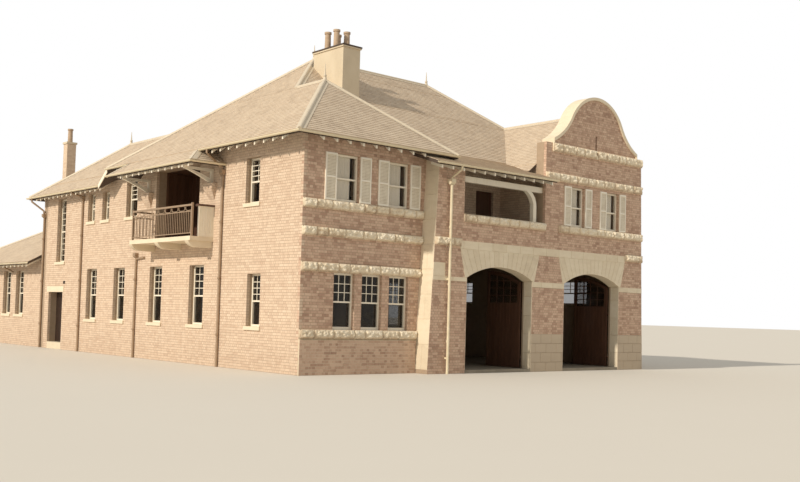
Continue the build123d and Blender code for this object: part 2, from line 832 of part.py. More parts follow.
def chimney(xs, ys, top):
    stack = block(*xs, *ys, 0, top - cap_height)
    cap = block(xs[0] - cap_overhang, xs[1] + cap_overhang, ys[0] - cap_overhang, ys[1] + cap_overhang,
                top - cap_height, top)
    return stack + cap


def pot(x, y, z):
    """A clay pot with a rolled rim, open at the top."""
    body = Pos(x, y, z + pot_height / 2) * Cone(pot_radius, pot_radius * 0.88, pot_height)
    rim = Pos(x, y, z + pot_height - 35) * Cylinder(pot_radius + 12, 70)
    bore = Pos(x, y, z + pot_height / 2 + pot_wall) * Cylinder(pot_radius * 0.88 - pot_wall, pot_height)
    return body + rim - bore


def chimney_pots():
    x_mid = sum(stack_x) / 2
    y_mid = sum(stack_y) / 2
    spread = (230, 260)
    pots = [pot(x_mid + i * spread[0], y_mid + j * spread[1], stack_top) for i in (-1, 1) for j in (-1, 1)]
    pots.append(pot(sum(low_stack_x) / 2, sum(low_stack_y) / 2, low_stack_top))
    return pots


# Rafter ends

def rafter_profile(edge_z, rate, reach):
    top_edge = edge_z - roof_depth
    return [(rafter_setback, top_edge + rafter_setback * rate), (reach, top_edge + reach * rate),
            (reach, top_edge + reach * rate - rafter_height),
            (rafter_setback, top_edge + rafter_setback * rate - rafter_height)]


def spaced(start, end, pitch=rafter_pitch):
    count = max(1, round((end - start) / pitch))
    return [start + (end - start) * i / count for i in range(count + 1)]


def rafters_left(y0, y1, edge_x, edge_z, rate, reach):
    """Rafter ends under eaves that look towards -X."""
    outline = [(edge_x + d, z) for d, z in rafter_profile(edge_z, rate, reach)]
    return [along_y(outline, y - rafter_width / 2, y + rafter_width / 2) for y in spaced(y0, y1)]


def rafters_right(y0, y1, edge_x, edge_z, rate, reach):
    outline = [(edge_x - d, z) for d, z in rafter_profile(edge_z, rate, reach)]
    return [along_y(outline, y - rafter_width / 2, y + rafter_width / 2) for y in spaced(y0, y1)]


def rafters_front(x0, x1, edge_y, edge_z, rate, reach):
    outline = [(edge_y + d, z) for d, z in rafter_profile(edge_z, rate, reach)]
    return [along_x(outline, x - rafter_width / 2, x + rafter_width / 2) for x in spaced(x0, x1)]


def rafters_back(x0, x1, edge_y, edge_z, rate, reach):
    outline = [(edge_y - d, z) for d, z in rafter_profile(edge_z, rate, reach)]
    return [along_x(outline, x - rafter_width / 2, x + rafter_width / 2) for x in spaced(x0, x1)]


def rafter_ends():
    inset = 230
    edge_z = balcony_edge_z()
    rows = rafters_front(inset, loggia_left_x - rafter_width, -overhang, eaves_z, slope, overhang)
    rows += rafters_left(inset, balcony_roof_start - inset, -overhang, eaves_z, slope, overhang)
    rows += rafters_left(balcony_roof_start + inset, bracket_ys[0] - 60, balcony_eaves_x, edge_z, slope, 130)
    rows += rafters_left(bracket_ys[0] + 150, bracket_ys[1] - 60, balcony_eaves_x, edge_z, slope, 130)
    rows += rafters_left(balcony_roof_end + inset, bay_back - inset / 2, -overhang, eaves_z, slope, overhang)
    rows += rafters_left(verge_end + inset, wing_end - inset, wing_eaves[0], wing_eaves_z, slope, wing_overhang)
    rows += rafters_left(wing_end + inset, low_end - inset, -overhang, low_eaves_z, low_slope, overhang)
    rows += rafters_right(wing_end + inset, low_end - inset, low_eaves[1], low_eaves_z, low_slope, overhang)
    rows += rafters_back(inset, wing_width - inset, low_roof_end, low_eaves_z, low_slope, overhang)
    rows += rafters_right(main_back + 2 * inset, wing_end - inset, wing_eaves[1], wing_eaves_z, slope, wing_overhang)
    rows += rafters_back(inset, wing_width - inset, wing_roof_end, wing_eaves_z, slope, wing_overhang)
    rows += rafters_back(wing_eaves[1] + inset, right_x - inset, main_back, eaves_z, slope, overhang)
    rows += rafters_right(inset, bay_back - inset, gable_eaves[1], eaves_z, slope, gable_eaves[1] - right_x)
    rows += rafters_front(loggia_left_x + inset, gable_left_x - inset, loggia_eaves_y, loggia_eaves_z,
                          loggia_slope, bay_front - loggia_eaves_y)
    return rows


# Rolls along hips and ridges

def roll(a, b):
    start = Vector(*a)
    way = Vector(*b) - start
    tube = Solid.make_cylinder(roll_radius, way.length, Plane(origin=start, z_dir=way.normalized()))
    return tube


def key_points():
    return {
        "house_left": (-overhang, -overhang, eaves_z),
        "house_right": (house_eaves[1], -overhang, eaves_z),
        "house_peak": (house_ridge_x, house_ridge_x, house_ridge_z),
        "house_back": (house_ridge_x, main_front + house_half, house_ridge_z),
        "main_left": (ridge_left_x, main_ridge_y, main_ridge_z),
        "main_right": (ridge_right_x, main_ridge_y, main_ridge_z),
        "gable_back": (gable_x, main_front + gable_wing_half, gable_ridge_z),
        "gable_front": (gable_x, bay_back_face, gable_ridge_z),
        "back_left": (-overhang, main_back, eaves_z),
        "back_right": (gable_eaves[1], main_back, eaves_z),
        "wing_front": (wing_ridge_x, main_back - (wing_ridge_z - eaves_z) / slope, wing_ridge_z),
        "wing_peak": (wing_ridge_x, wing_roof_end - wing_half, wing_ridge_z),
        "wing_left": (wing_eaves[0], wing_roof_end, wing_eaves_z),
        "wing_right": (wing_eaves[1], wing_roof_end, wing_eaves_z),
        "low_front": (wing_ridge_x, wing_end, low_ridge_z),
        "low_peak": (wing_ridge_x, low_roof_end - low_half, low_ridge_z),
        "low_left": (low_eaves[0], low_roof_end, low_eaves_z),
        "low_right": (low_eaves[1], low_roof_end, low_eaves_z),
    }


roll_lines = [("house_left", "house_peak"), ("house_right", "house_peak"), ("house_peak", "house_back"),
              ("house_back", "main_left"), ("main_left", "main_right"), ("main_right", "gable_back"),
              ("gable_back", "gable_front"), ("main_left", "back_left"), ("main_right", "back_right"),
              ("wing_front", "wing_peak"), ("wing_peak", "wing_left"), ("wing_peak", "wing_right"),
              ("low_front", "low_peak"), ("low_peak", "low_left"), ("low_peak", "low_right")]


def ridge_rolls(covered):
    """Half-round rolls that sit on every hip and ridge."""
    points = key_points()
    return joined([roll(points[a], points[b]) for a, b in roll_lines]) - covered


def finial(at):
    """A turned spike on a hip's peak."""
    x, y, z = at
    foot = Pos(x, y, z + 60) * Cone(finial_radius * 1.6, finial_radius, 120)
    ball = Pos(x, y, z + 165) * Sphere(finial_radius * 1.15)
    spike = Pos(x, y, z + 120 + (finial_height - 120) / 2) * Cone(finial_radius * 0.7, 8, finial_height - 120)
    return foot + ball + spike


# Downpipes

def pipe_side(y, top, bottom):
    x = -pipe_radius - pipe_gap
    pipe = Pos(x, y, (top + bottom) / 2) * Cylinder(pipe_radius, top - bottom)
    half = rain_head / 2
    head = along_y([(x - half, top + rain_head), (0, top + rain_head), (0, top + rain_head * 0.4),
                    (x, top - 1), (x - half, top + rain_head * 0.4)], y - half, y + half)
    clips = [block(x, 0, y - 30, y + 30, z - 30, z + 30) for z in (bottom + 500, (top + bottom) / 2, top - 300)]
    return joined([pipe, head] + clips)


def pipe_front(x, top, bottom):
    y = bay_front - band_depth - pipe_radius - pipe_gap
    pipe = Pos(x, y, (top + bottom) / 2) * Cylinder(pipe_radius, top - bottom)
    half = rain_head / 2
    head = along_x([(y - half, top + rain_head), (bay_front, top + rain_head), (bay_front, top + rain_head * 0.4),
                    (y, top - 1), (y - half, top + rain_head * 0.4)], x - half, x + half)
    clips = [block(x - 30, x + 30, y, bay_front, z - 30, z + 30) for z in (bottom + 500, (top + bottom) / 2)]
    return joined([pipe, head] + clips)


def gutter(points):
    """A half-round gutter swept along the roof's edge, with its back against that edge."""
    start = Vector(*points[0])
    way = (Vector(*points[1]) - start).normalized()
    out = way.cross(Vector(0, 0, 1))
    plane = Plane(origin=start + out * gutter_radius - Vector(0, 0, gutter_drop), x_dir=out, z_dir=way)
    up = 1 if plane.y_dir.Z > 0 else -1
    bowl = Circle(gutter_radius) - Circle(gutter_radius - gutter_wall)
    bowl = bowl & (Pos(0, -up * gutter_radius) * Rectangle(4 * gutter_radius, 2 * gutter_radius))
    back = Pos(-gutter_radius + gutter_wall / 2, -up * gutter_back / 2) * \
        Rectangle(gutter_wall, 3 * gutter_back)
    return sweep(plane * (bowl + back), path=Polyline(*points), transition=Transition.RIGHT)


def at_level(z, points):
    return [(x, y, z) for x, y in points]


def gutters():
    """Gutters along every level eaves, each run clockwise seen from above so that it hangs outside."""
    left = -overhang
    meet = 1.3 * (-overhang - balcony_eaves_x)
    wing_meet = wing_eaves[1] - (eaves_z - roof_depth - wing_eaves_z) / slope
    right = gable_eaves[1]
    runs = [
        at_level(eaves_z, [(left, balcony_roof_start + meet - overhang / 2), (left, left), (house_eaves[1], left)]),
        at_level(balcony_edge_z(), [(0, balcony_roof_end), (balcony_eaves_x, balcony_roof_end),
                                    (balcony_eaves_x, balcony_roof_start), (0, balcony_roof_start)]),
        at_level(eaves_z, [(left, main_back), (left, balcony_roof_end - meet + overhang / 2)]),
        at_level(wing_eaves_z, [(wing_eaves[1], main_back), (wing_eaves[1], wing_roof_end),
                                (wing_eaves[0], wing_roof_end), (wing_eaves[0], verge_end)]),
        at_level(eaves_z, [(right, bay_back_face), (right, main_back), (wing_meet + overhang / 4, main_back)]),
        at_level(loggia_eaves_z, [(loggia_left_x, loggia_eaves_y), (gable_left_x, loggia_eaves_y)]),
        at_level(low_eaves_z, [(low_eaves[1], wing_end), (low_eaves[1], low_roof_end),
                               (low_eaves[0], low_roof_end), (low_eaves[0], wing_end)]),
    ]
    return [gutter(run) for run in runs]


def downpipes():
    tops = (6200, 3650, 6100, 5600)
    return [pipe_side(y, top, 0) for y, top in zip(side_pipe_ys, tops)]


# Floors

def ground_floor_piece():
    main = block(wall, right_x - wall, wall, bay_back - wall, 0, floor_top)
    bay = block(house_width, right_x - wall, bay_back_face, wall, 0, floor_top)
    sills = [block(x - arch_half, x + arch_half, bay_front, bay_back_face, 0, floor_top) for x in arch_xs]
    wing = block(wall, wing_width - wall, bay_back - wall, wing_end - wall, 0, floor_top)
    return joined([main, bay, wing] + sills) - block(*stack_x, *stack_y, deep, sky)


def low_floor_piece():
    floor = block(wall, wing_width - wall, wing_end, low_end - wall, 0, floor_top)
    return floor - block(*low_stack_x, *low_stack_y, deep, sky)


def upper_floor_piece():
    bottom = upper_floor_top - upper_floor_depth
    main = block(wall, right_x - wall, wall, bay_back - wall, bottom, upper_floor_top)
    bay = block(house_width, right_x - wall, bay_back_face, wall, bottom, upper_floor_top)
    wing = block(wall, wing_width - wall, bay_back - wall, wing_end - wall, bottom, upper_floor_top)
    return joined([main, bay, wing]) - block(*stack_x, *stack_y, deep, sky)


def door_stonework():
    """The step in the side doorway and the lintel stone on the wall over it."""
    step = block(0, wall, door_start, door_end, 0, door_sill_z)
    lintel = block(-lintel_reach, 0, door_start - lintel_ear, door_end + lintel_ear,
                   door_head_z, door_head_z + lintel_height)
    return [step, lintel]


# Doors. A leaf is drawn closed with its hinge line at u = 0 and the wall's inner face at v = 0.

def leaf_band(z, reach):
    """The iron band and its eye, on the leaf's inner face."""
    low = z + band_inset
    high = z + band_height - band_inset
    strap = block(jamb_gap, reach, 0, band_depth_flat, low, high)
    neck = block(jamb_gap, eye_radius, 0, hinge_offset, low, high)
    eye = Pos(0, hinge_offset, z + band_height / 2) * Cylinder(eye_radius, band_height)
    bore = Pos(0, hinge_offset, z + band_height / 2) * Cylinder(pin_radius + pin_clear, band_height + 2)
    return strap + neck + eye - bore


def hook(z):
    """The pintle in the wall: a plate, an arm and an upright pin."""
    base = z - pin_clear - hook_height
    plate = block(-120, -2, 0, band_depth_flat + 2, base - 50, base + hook_height)
    arm = block(-40, pin_radius, band_depth_flat + 1, hinge_offset + pin_radius + 6, base, base + hook_height)
    pin = Pos(0, hinge_offset, base + hook_height + (band_height + pin_clear) / 2) * \
        Cylinder(pin_radius, band_height + pin_clear)
    return plate + arm + pin


def arched_outline(left, right, bottom, radius, v):
    """A leaf outline under the arch, whose centre line is at u = arch_half."""
    def top(u):
        return arch_centre_z + math.sqrt(radius ** 2 - (u - arch_half) ** 2)

    middle = (left + right) / 2
    return [Line((left, v, bottom), (right, v, bottom)), Line((right, v, bottom), (right, v, top(right))),
            ThreePointArc((right, v, top(right)), (middle, v, top(middle)), (left, v, top(left))),
            Line((left, v, top(left)), (left, v, bottom))]


def engine_leaf():
    """A tall boarded leaf with a glazed head that follows the arch."""
    right = arch_half - meeting_gap / 2
    outer = arched_outline(jamb_gap, right, floor_top + floor_clear, arch_radius - leaf_clear, -leaf_depth)
    inner = arched_outline(jamb_gap + leaf_border, right - leaf_border, leaf_glass_z,
                           arch_radius - leaf_clear - leaf_border, -leaf_depth)
    body = extrude(make_face(joined(outer)), amount=leaf_depth, dir=(0, 1, 0))
    light = extrude(make_face(joined(inner)), amount=leaf_depth, dir=(0, 1, 0))
    slot = block(-sky, sky, -leaf_depth / 2 - glass_depth / 2, -leaf_depth / 2 + glass_depth / 2, deep, sky)
    bands = [leaf_band(z, band_reach) for z in hook_levels]
    return joined([body - light] + bands), light & slot


def side_leaf():
    width = (door_end - door_start) / 2 - meeting_gap / 2
    body = block(jamb_gap, width, -door_depth, 0, door_sill_z + jamb_gap, door_head_z - leaf_clear)
    bands = [leaf_band(z, width * 0.75) for z in hook_levels]
    return joined([body] + bands)


def place(shape, mirrored, at, turn):
    """Puts a leaf or hook at a jamb: mirrored for the other hand, then turned about the upright."""
    if mirrored:
        shape = mirror(shape, Plane.YZ)
    return Pos(at[0], at[1], 0) * Rot(0, 0, turn) * shape


def swung(shape, at, angle):
    """Turns a placed leaf about its hinge pin."""
    return Pos(at[0], at[1], 0) * Rot(0, 0, angle) * Pos(-at[0], -at[1], 0) * shape


def engine_doors():
    """Four leaves standing open into the engine room, their panes and their hooks."""
    leaf, pane = engine_leaf()
    doors = []
    panes = []
    hooks = []
    for centre in arch_xs:
        for mirrored in (False, True):
            side = 1 if mirrored else -1
            jamb = (centre + side * arch_half, bay_back_face)
            pin = (jamb[0], jamb[1] + hinge_offset)
            angle = -90 if mirrored else 90
            doors.append(swung(place(leaf, mirrored, jamb, 0), pin, angle))
            panes.append(swung(place(pane, mirrored, jamb, 0), pin, angle))
            hooks += [place(hook(z), mirrored, jamb, 0) for z in hook_levels]
    return doors, panes, hooks


def side_doors():
    doors = []
    hooks = []
    for mirrored, jamb_y in ((True, door_start), (False, door_end)):
        doors.append(place(side_leaf(), mirrored, (wall, jamb_y), -90))
        hooks += [place(hook(z), mirrored, (wall, jamb_y), -90) for z in hook_levels]
    return doors, hooks


# Shutters

def shutters():
    """Panelled shutters folded back beside the upper windows of the front."""
    leaves = []
    for holes, face in ((with_levels(front_upper, (upper_sill_z, upper_head_z)), 0), (gable_holes, bay_front)):
        for a, b, z0, z1 in holes:
            width = (b - a) / 2
            for x0 in (a - shutter_gap - width, b + shutter_gap):
                leaf = block(x0, x0 + width, face - shutter_depth, face, z0 + 15, z1)
                middle = (z0 + z1) / 2
                for low, high in ((z0 + 75, middle - 25), (middle + 25, z1 - 60)):
                    leaf = leaf - block(x0 + 50, x0 + width - 50, face - shutter_depth - 1, face - shutter_depth + 14,
                                        low, high)
                leaves.append(leaf)
    return leaves


nodes = {}


def save(name, shapes):
    """Keeps one node, as one solid or as several that don't touch."""
    shapes = shapes if isinstance(shapes, list) else [shapes]
    nodes[name] = [solid for shape in shapes for solid in shape.solids()]


def centred_shift():
    """The move that puts the origin under the middle of the whole building."""
    whole = Compound([solid for solids in nodes.values() for solid in solids]).bounding_box()
    return Pos(-(whole.min.X + whole.max.X) / 2, -(whole.min.Y + whole.max.Y) / 2, -whole.min.Z)


def write_nodes():
    os.makedirs("parts", exist_ok=True)
    shift = centred_shift()
    for name, solids in nodes.items():
        moved = [shift * solid for solid in solids]
        whole = moved[0] if len(moved) == 1 else Compound(children=moved)
        export_step(whole, os.path.join("parts", name + ".step"))


def build():
    front, side, over, end = house_walls()
    save("front_wall", front)
    save("side_wall", side)
    save("side_wall_over_door", over)
    save("side_wall_end", end)
    right, rear, wing = yard_walls()
    save("right_wall", right)
    save("rear_wall", rear)
    save("wing_walls", wing)
    save("low_wing_walls", low_walls())

    save("engine_piers", piers())
    stones = [arch_stone(x) for x in arch_xs]
    course = top_course()
    save("arch_stones", joined(stones + [course]))
    save("bay_brickwork", bay_brickwork(stones, course))
    save("gable_wall", gable_wall_piece())
    save("gable_coping", gable_coping_piece())
    save("loggia_walls", loggia_wall_piece())
    save("loggia_beam", loggia_timber())
    save("front_bands", front_bands())
    save("bay_bands", bay_bands() + [loggia_coping()])

    main_roof, bay_roof, wing_roof, low_roof = roofs()
    save("main_roof", main_roof)
    save("bay_roof", bay_roof)
    save("wing_roof", wing_roof)
    save("low_roof", low_roof)
    save("rafter_ends", rafter_ends())
    stack = chimney(stack_x, stack_y, stack_top)
    low_stack = chimney(low_stack_x, low_stack_y, low_stack_top)
    bodies = upper_bodies() + [low_body(low_eaves_z - roof_depth)]
    finials = [finial(key_points()[name]) for name in ("house_peak", "main_left", "main_right", "wing_peak")]
    covered = joined(bodies + [stack])
    channels = gutters()
    save("gutters", channels)
    save("ridge_rolls", ridge_rolls(joined([covered] + finials + channels)))
    save("finials", [piece - covered for piece in finials])
    save("chimneys", [stack, low_stack])
    save("chimney_pots", chimney_pots())

    save("ground_floor", [ground_floor_piece(), low_floor_piece()])
    save("upper_floor", upper_floor_piece())
    save("door_stonework", door_stonework())
    save("recess_walls", recess_wall_piece())
    save("upper_doors", upper_doors())
    save("balcony_slab", balcony_slab_piece())
    save("balcony_railing", balcony_railing())
    save("balcony_end_panel", balcony_panel())
    save("balcony_brackets", [joined([bracket(y) for y in bracket_ys] + [wall_plate()])])
    save("bracket_heads", [bracket_head(y) for y in bracket_ys])
    save("downpipes", downpipes())
    save("bay_downpipe", pipe_front(bay_pipe_x, 6060, 0))
    save("shutters", shutters())

    front_frames, glass = windows(front_holes, "front", 0)
    gable_frames, more = windows(gable_holes, "front", bay_front)
    glass += more
    side_frames, more = windows(side_holes, "left", 0, side_setback)
    glass += more
    low_frames, more = windows(low_holes, "left", 0, side_setback)
    glass += more
    rear_frames, more = windows(rear_holes, "back", bay_back)
    glass += more
    right_frames, more = windows(right_holes, "right", right_x)
    glass += more
    yard_frames, more = windows(wing_yard_holes + low_yard_holes, "right", wing_width)
    glass += more
    ledges = sills(side_holes + low_holes, "left", 0, side_setback) + sills(rear_holes, "back", bay_back)
    ledges += sills(right_holes, "right", right_x)
    ledges += sills(wing_yard_holes + low_yard_holes, "right", wing_width)
    save("window_sills", ledges)
    save("front_windows", front_frames + gable_frames)
    save("side_windows", side_frames + low_frames)
    save("yard_windows", rear_frames + right_frames + yard_frames)
    save("window_glass", glass)

    doors, panes, hooks = engine_doors()
    names = ("left_arch_left_leaf", "left_arch_right_leaf", "right_arch_left_leaf", "right_arch_right_leaf")
    for name, door, pane in zip(names, doors, panes):
        save(name, door)
        save(name + "_glass", pane)
    doors, more = side_doors()
    save("side_door_near_leaf", doors[0])
    save("side_door_far_leaf", doors[1])
    save("door_hooks", hooks + more)
    write_nodes()


build()
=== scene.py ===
import json
import math

import bpy
import numpy as np
from mathutils import Matrix, Vector, noise


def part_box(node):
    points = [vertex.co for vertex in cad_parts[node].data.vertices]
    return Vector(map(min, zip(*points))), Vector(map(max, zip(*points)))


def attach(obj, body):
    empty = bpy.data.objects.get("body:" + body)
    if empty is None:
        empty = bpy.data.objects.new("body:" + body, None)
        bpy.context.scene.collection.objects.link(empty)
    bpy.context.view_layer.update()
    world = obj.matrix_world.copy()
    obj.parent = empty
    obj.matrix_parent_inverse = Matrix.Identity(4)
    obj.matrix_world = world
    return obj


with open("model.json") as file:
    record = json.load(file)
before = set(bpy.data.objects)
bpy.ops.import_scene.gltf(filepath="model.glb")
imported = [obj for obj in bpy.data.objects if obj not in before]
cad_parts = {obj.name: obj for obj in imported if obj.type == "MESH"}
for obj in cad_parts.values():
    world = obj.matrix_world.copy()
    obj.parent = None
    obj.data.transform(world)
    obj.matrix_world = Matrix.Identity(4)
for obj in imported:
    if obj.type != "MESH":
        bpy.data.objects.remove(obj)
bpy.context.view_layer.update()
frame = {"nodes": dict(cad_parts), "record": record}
nodes = frame["nodes"]


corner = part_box("front_wall")[0]
print("frame loaded")


# Small helpers

def at(x, y, z):
    return Vector((corner.x + x, corner.y + y, z))


# A fraction from 0 to 1 hashed from whole numbers, the same in every run
def chance(*keys):
    value = 2166136261
    for key in keys:
        value = ((value ^ (int(key) & 0xFFFFFFFF)) * 16777619) & 0xFFFFFFFF
    value ^= value >> 15
    value = (value * 2246822519) & 0xFFFFFFFF
    value ^= value >> 13
    return value / 4294967296


def linear(hexColour):
    parts = [int(hexColour[i:i + 2], 16) / 255 for i in (1, 3, 5)]
    return tuple(p / 12.92 if p <= 0.04045 else ((p + 0.055) / 1.055) ** 2.4 for p in parts) + (1.0,)


class Build:
    def __init__(self):
        self.points = []
        self.faces = []
        self.tones = []

    def put(self, points, faces, tone=0.0):
        start = len(self.points)
        self.points.extend(points)
        self.faces.extend([tuple(start + i for i in face) for face in faces])
        self.tones.extend([tone] * len(faces))


boxFaces = [(0, 3, 2, 1), (4, 5, 6, 7), (0, 1, 5, 4), (1, 2, 6, 5), (2, 3, 7, 6), (3, 0, 4, 7)]


# Quads between one loop of points and the next
def sideFaces(count, start=0):
    over = start + count
    return [(start + i, start + (i + 1) % count, over + (i + 1) % count, over + i) for i in range(count)]


def levelCorners(low, high, z, inset=0.0):
    return [(low[0] + inset, low[1] + inset, z), (high[0] - inset, low[1] + inset, z),
            (high[0] - inset, high[1] - inset, z), (low[0] + inset, high[1] - inset, z)]


def putBox(build, low, high, tone=0.0, bevel=0.0):
    if not bevel:
        build.put(levelCorners(low, high, low[2]) + levelCorners(low, high, high[2]), boxFaces, tone)
        return
    points = []
    for z, inset in ((low[2], bevel), (low[2] + bevel, 0), (high[2] - bevel, 0), (high[2], bevel)):
        points += levelCorners(low, high, z, inset)
    faces = [(3, 2, 1, 0), (12, 13, 14, 15)]
    for layer in (0, 4, 8):
        faces += sideFaces(4, layer)
    build.put(points, faces, tone)


def putPrism(build, outline, push, tone=0.0):
    count = len(outline)
    points = [tuple(p) for p in outline] + [tuple(Vector(p) + push) for p in outline]
    faces = [tuple(range(count - 1, -1, -1)), tuple(range(count, 2 * count))]
    build.put(points, faces + sideFaces(count), tone)


def putTube(build, start, end, radius, sides=8, tone=0.0):
    start, end = Vector(start), Vector(end)
    way = (end - start).normalized()
    side = way.orthogonal().normalized()
    other = way.cross(side)
    turns = [2 * math.pi * i / sides for i in range(sides)]
    ring = [side * math.cos(turn) * radius + other * math.sin(turn) * radius for turn in turns]
    points = [tuple(start + r) for r in ring] + [tuple(end + r) for r in ring]
    faces = sideFaces(sides) + [tuple(range(sides - 1, -1, -1)), tuple(range(sides, 2 * sides))]
    build.put(points, faces, tone)


def addObject(name, data):
    thing = bpy.data.objects.new(name, data)
    bpy.context.scene.collection.objects.link(thing)
    return thing


def makePiece(name, build, material, body="building"):
    mesh = bpy.data.meshes.new(name)
    mesh.from_pydata(build.points, [], build.faces)
    tones = mesh.attributes.new("tone", "FLOAT", "FACE")
    tones.data.foreach_set("value", np.array(build.tones, np.float32))
    mesh.materials.append(material)
    mesh.update()
    piece = addObject(name, mesh)
    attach(piece, body)
    print("piece", name, len(mesh.polygons), "faces")
    return piece


# Materials

def addNode(tree, kind, inputs=None, **settings):
    node = tree.nodes.new("ShaderNode" + kind)
    for key, value in settings.items():
        setattr(node, key, value)
    for key, value in (inputs or {}).items():
        if isinstance(value, bpy.types.NodeSocket):
            tree.links.new(value, node.inputs[key])
        else:
            node.inputs[key].default_value = value
    return node


def setRamp(node, stops):
    ramp = node.color_ramp
    while len(ramp.elements) < len(stops):
        ramp.elements.new(0.5)
    for element, (position, hexColour) in zip(ramp.elements, stops):
        element.position = position
        element.color = linear(hexColour)


def startMaterial(name, shaderValues):
    material = bpy.data.materials.new(name)
    material.use_nodes = True
    tree = material.node_tree
    shader = tree.nodes["Principled BSDF"]
    for key, value in shaderValues.items():
        shader.inputs[key].default_value = value
    return material, tree, shader


# Clouded colour with a tone for each unit, and with bump, soil at the foot or grooves where these are given
# Scales are per metre: patches are 1 / scale wide, 80 mm to 2.5 m, and show from the street. The bump's grain
# is 5 to 40 mm, coarser than the real grit, and still so fine that it shows only close up.
def mottled(name, roughness, scale, gain, colours, toneGain=0.0, stretch=None, bump=None, soil=None,
            grooves=None, metallic=0.0, coat=0.0):
    shaderValues = {"Roughness": roughness, "Metallic": metallic, "Coat Weight": coat}
    material, tree, shader = startMaterial(name, shaderValues)
    own = addNode(tree, "TexCoord").outputs["Object"]
    place = own
    if stretch:
        place = addNode(tree, "Mapping", {"Vector": own, "Scale": stretch}).outputs["Vector"]
    patch = addNode(tree, "TexNoise", {"Vector": place, "Scale": scale, "Detail": 5.0, "Roughness": 0.62})
    tone = addNode(tree, "Attribute", attribute_name="tone", attribute_type="GEOMETRY")
    base = addNode(tree, "Math", {0: patch.outputs["Fac"], 1: gain, 2: 0.5 - 0.5 * gain},
                   operation="MULTIPLY_ADD")
    factor = addNode(tree, "Math", {0: tone.outputs["Fac"], 1: toneGain, 2: base.outputs[0]},
                     operation="MULTIPLY_ADD")
    ramp = addNode(tree, "ValToRGB", {"Fac": factor.outputs[0]})
    setRamp(ramp, colours)
    colour = ramp.outputs["Color"]
    if soil:
        where = addNode(tree, "SeparateXYZ", {0: addNode(tree, "NewGeometry").outputs["Position"]})
        wash = addNode(tree, "TexNoise", {"Vector": place, "Scale": 1.3, "Detail": 4.0})
        height = addNode(tree, "Math", {0: wash.outputs["Fac"], 1: -1.4, 2: where.outputs["Z"]},
                         operation="MULTIPLY_ADD")
        fade = addNode(tree, "MapRange", {"Value": height.outputs[0], "From Min": -0.7, "From Max": 0.9,
                                          "To Min": soil[0], "To Max": 0.0})
        soiled = addNode(tree, "Mix", {0: fade.outputs[0], 6: colour, 7: linear(soil[1])}, data_type="RGBA")
        colour = soiled.outputs[2]
    if grooves:
        axis, pitch, width, dark = grooves
        split = addNode(tree, "SeparateXYZ", {0: own})
        scaled = addNode(tree, "Math", {0: split.outputs[axis], 1: pitch}, operation="DIVIDE")
        part = addNode(tree, "Math", {0: scaled.outputs[0]}, operation="FRACT")
        line = addNode(tree, "Math", {0: part.outputs[0], 1: width / pitch}, operation="LESS_THAN")
        lined = addNode(tree, "Mix", {0: line.outputs[0], 6: colour, 7: linear(dark)}, data_type="RGBA")
        colour = lined.outputs[2]
    tree.links.new(colour, shader.inputs["Base Color"])
    if bump:
        rough = addNode(tree, "TexNoise", {"Vector": place, "Scale": bump[0], "Detail": 6.0})
        relief = addNode(tree, "Bump", {"Height": rough.outputs["Fac"], "Distance": bump[1], "Strength": 0.9})
        tree.links.new(relief.outputs["Normal"], shader.inputs["Normal"])
    return material


# Common brick: pale tan bricks, each with its own tone, so the wall reads as fired units.
brick = mottled(
    "common brick", roughness=0.9, scale=3.1, gain=0.3, toneGain=0.24,
    colours=[(0.0, "#9A816D"), (0.3, "#C3A992"), (0.5, "#D6BFA7"), (0.75, "#DFCAB3"), (1.0, "#E6D4BF")],
    bump=(160.0, 0.002), soil=(0.15, "#857262"))

# Face brick: a shade browner, with clouded patches, which sets off the pale bands of the front.
faceBrick = mottled(
    "brown face brick", roughness=0.88, scale=2.4, gain=0.55, toneGain=0.4,
    colours=[(0.0, "#886A59"), (0.3, "#B4937E"), (0.5, "#CCAD96"), (0.75, "#D8BCA4"), (1.0, "#E2CAB4")],
    bump=(160.0, 0.002), soil=(0.12, "#7E6A5A"))

# Mortar: lime joints a shade darker than the bricks, which draws the fine course lines.
mortar = mottled(
    "lime mortar", roughness=0.95, scale=6.0, gain=0.6,
    colours=[(0.0, "#8E7A66"), (0.5, "#AA957E"), (1.0, "#BFAA92")],
    bump=(220.0, 0.001), soil=(0.15, "#6E5E50"))

# Dressed stone: cream sandstone with soft bedding stains, a calm light surface beside the brick.
dressedStone = mottled(
    "dressed sandstone", roughness=0.85, scale=2.6, gain=0.7, toneGain=0.45, stretch=(1.0, 1.0, 2.6),
    colours=[(0.0, "#C6B59E"), (0.4, "#E0D1B6"), (0.7, "#EADDC4"), (1.0, "#F0E6D2")],
    bump=(90.0, 0.0015), soil=(0.2, "#7A6C58"))

# Rock-faced stone: the same sandstone left broken, with painted shade in the hollows and at the foot of each
# stone, which catches the raking light.
rockStone = mottled(
    "rock faced sandstone", roughness=0.92, scale=9.0, gain=0.7, toneGain=0.4,
    colours=[(0.0, "#937C66"), (0.25, "#C8B296"), (0.5, "#E4D5BA"), (1.0, "#F4EBD8")],
    bump=(45.0, 0.006), soil=(0.3, "#75664F"))

# Slate: thin split slates of uneven pale grey-brown, nearly matt, so the roof reads in broken rows.
slate = mottled(
    "split slate", roughness=0.7, scale=0.8, gain=0.45, toneGain=0.34,
    colours=[(0.0, "#A5937F"), (0.4, "#CBB9A2"), (0.7, "#D6C5AE"), (1.0, "#E0D1BC")], bump=(60.0, 0.0012))

# Roof bed: dark tarred boards between the slates and under the eaves, darkened further as painted shade on
# the eaves' undersides. The stack's cap course shares it.
roofBed = mottled(
    "roof boards", roughness=0.85, scale=5.0, gain=0.6,
    colours=[(0.0, "#3A3029"), (0.5, "#51443A"), (1.0, "#6A5A4C")], grooves=("Y", 0.16, 0.008, "#2C2620"))

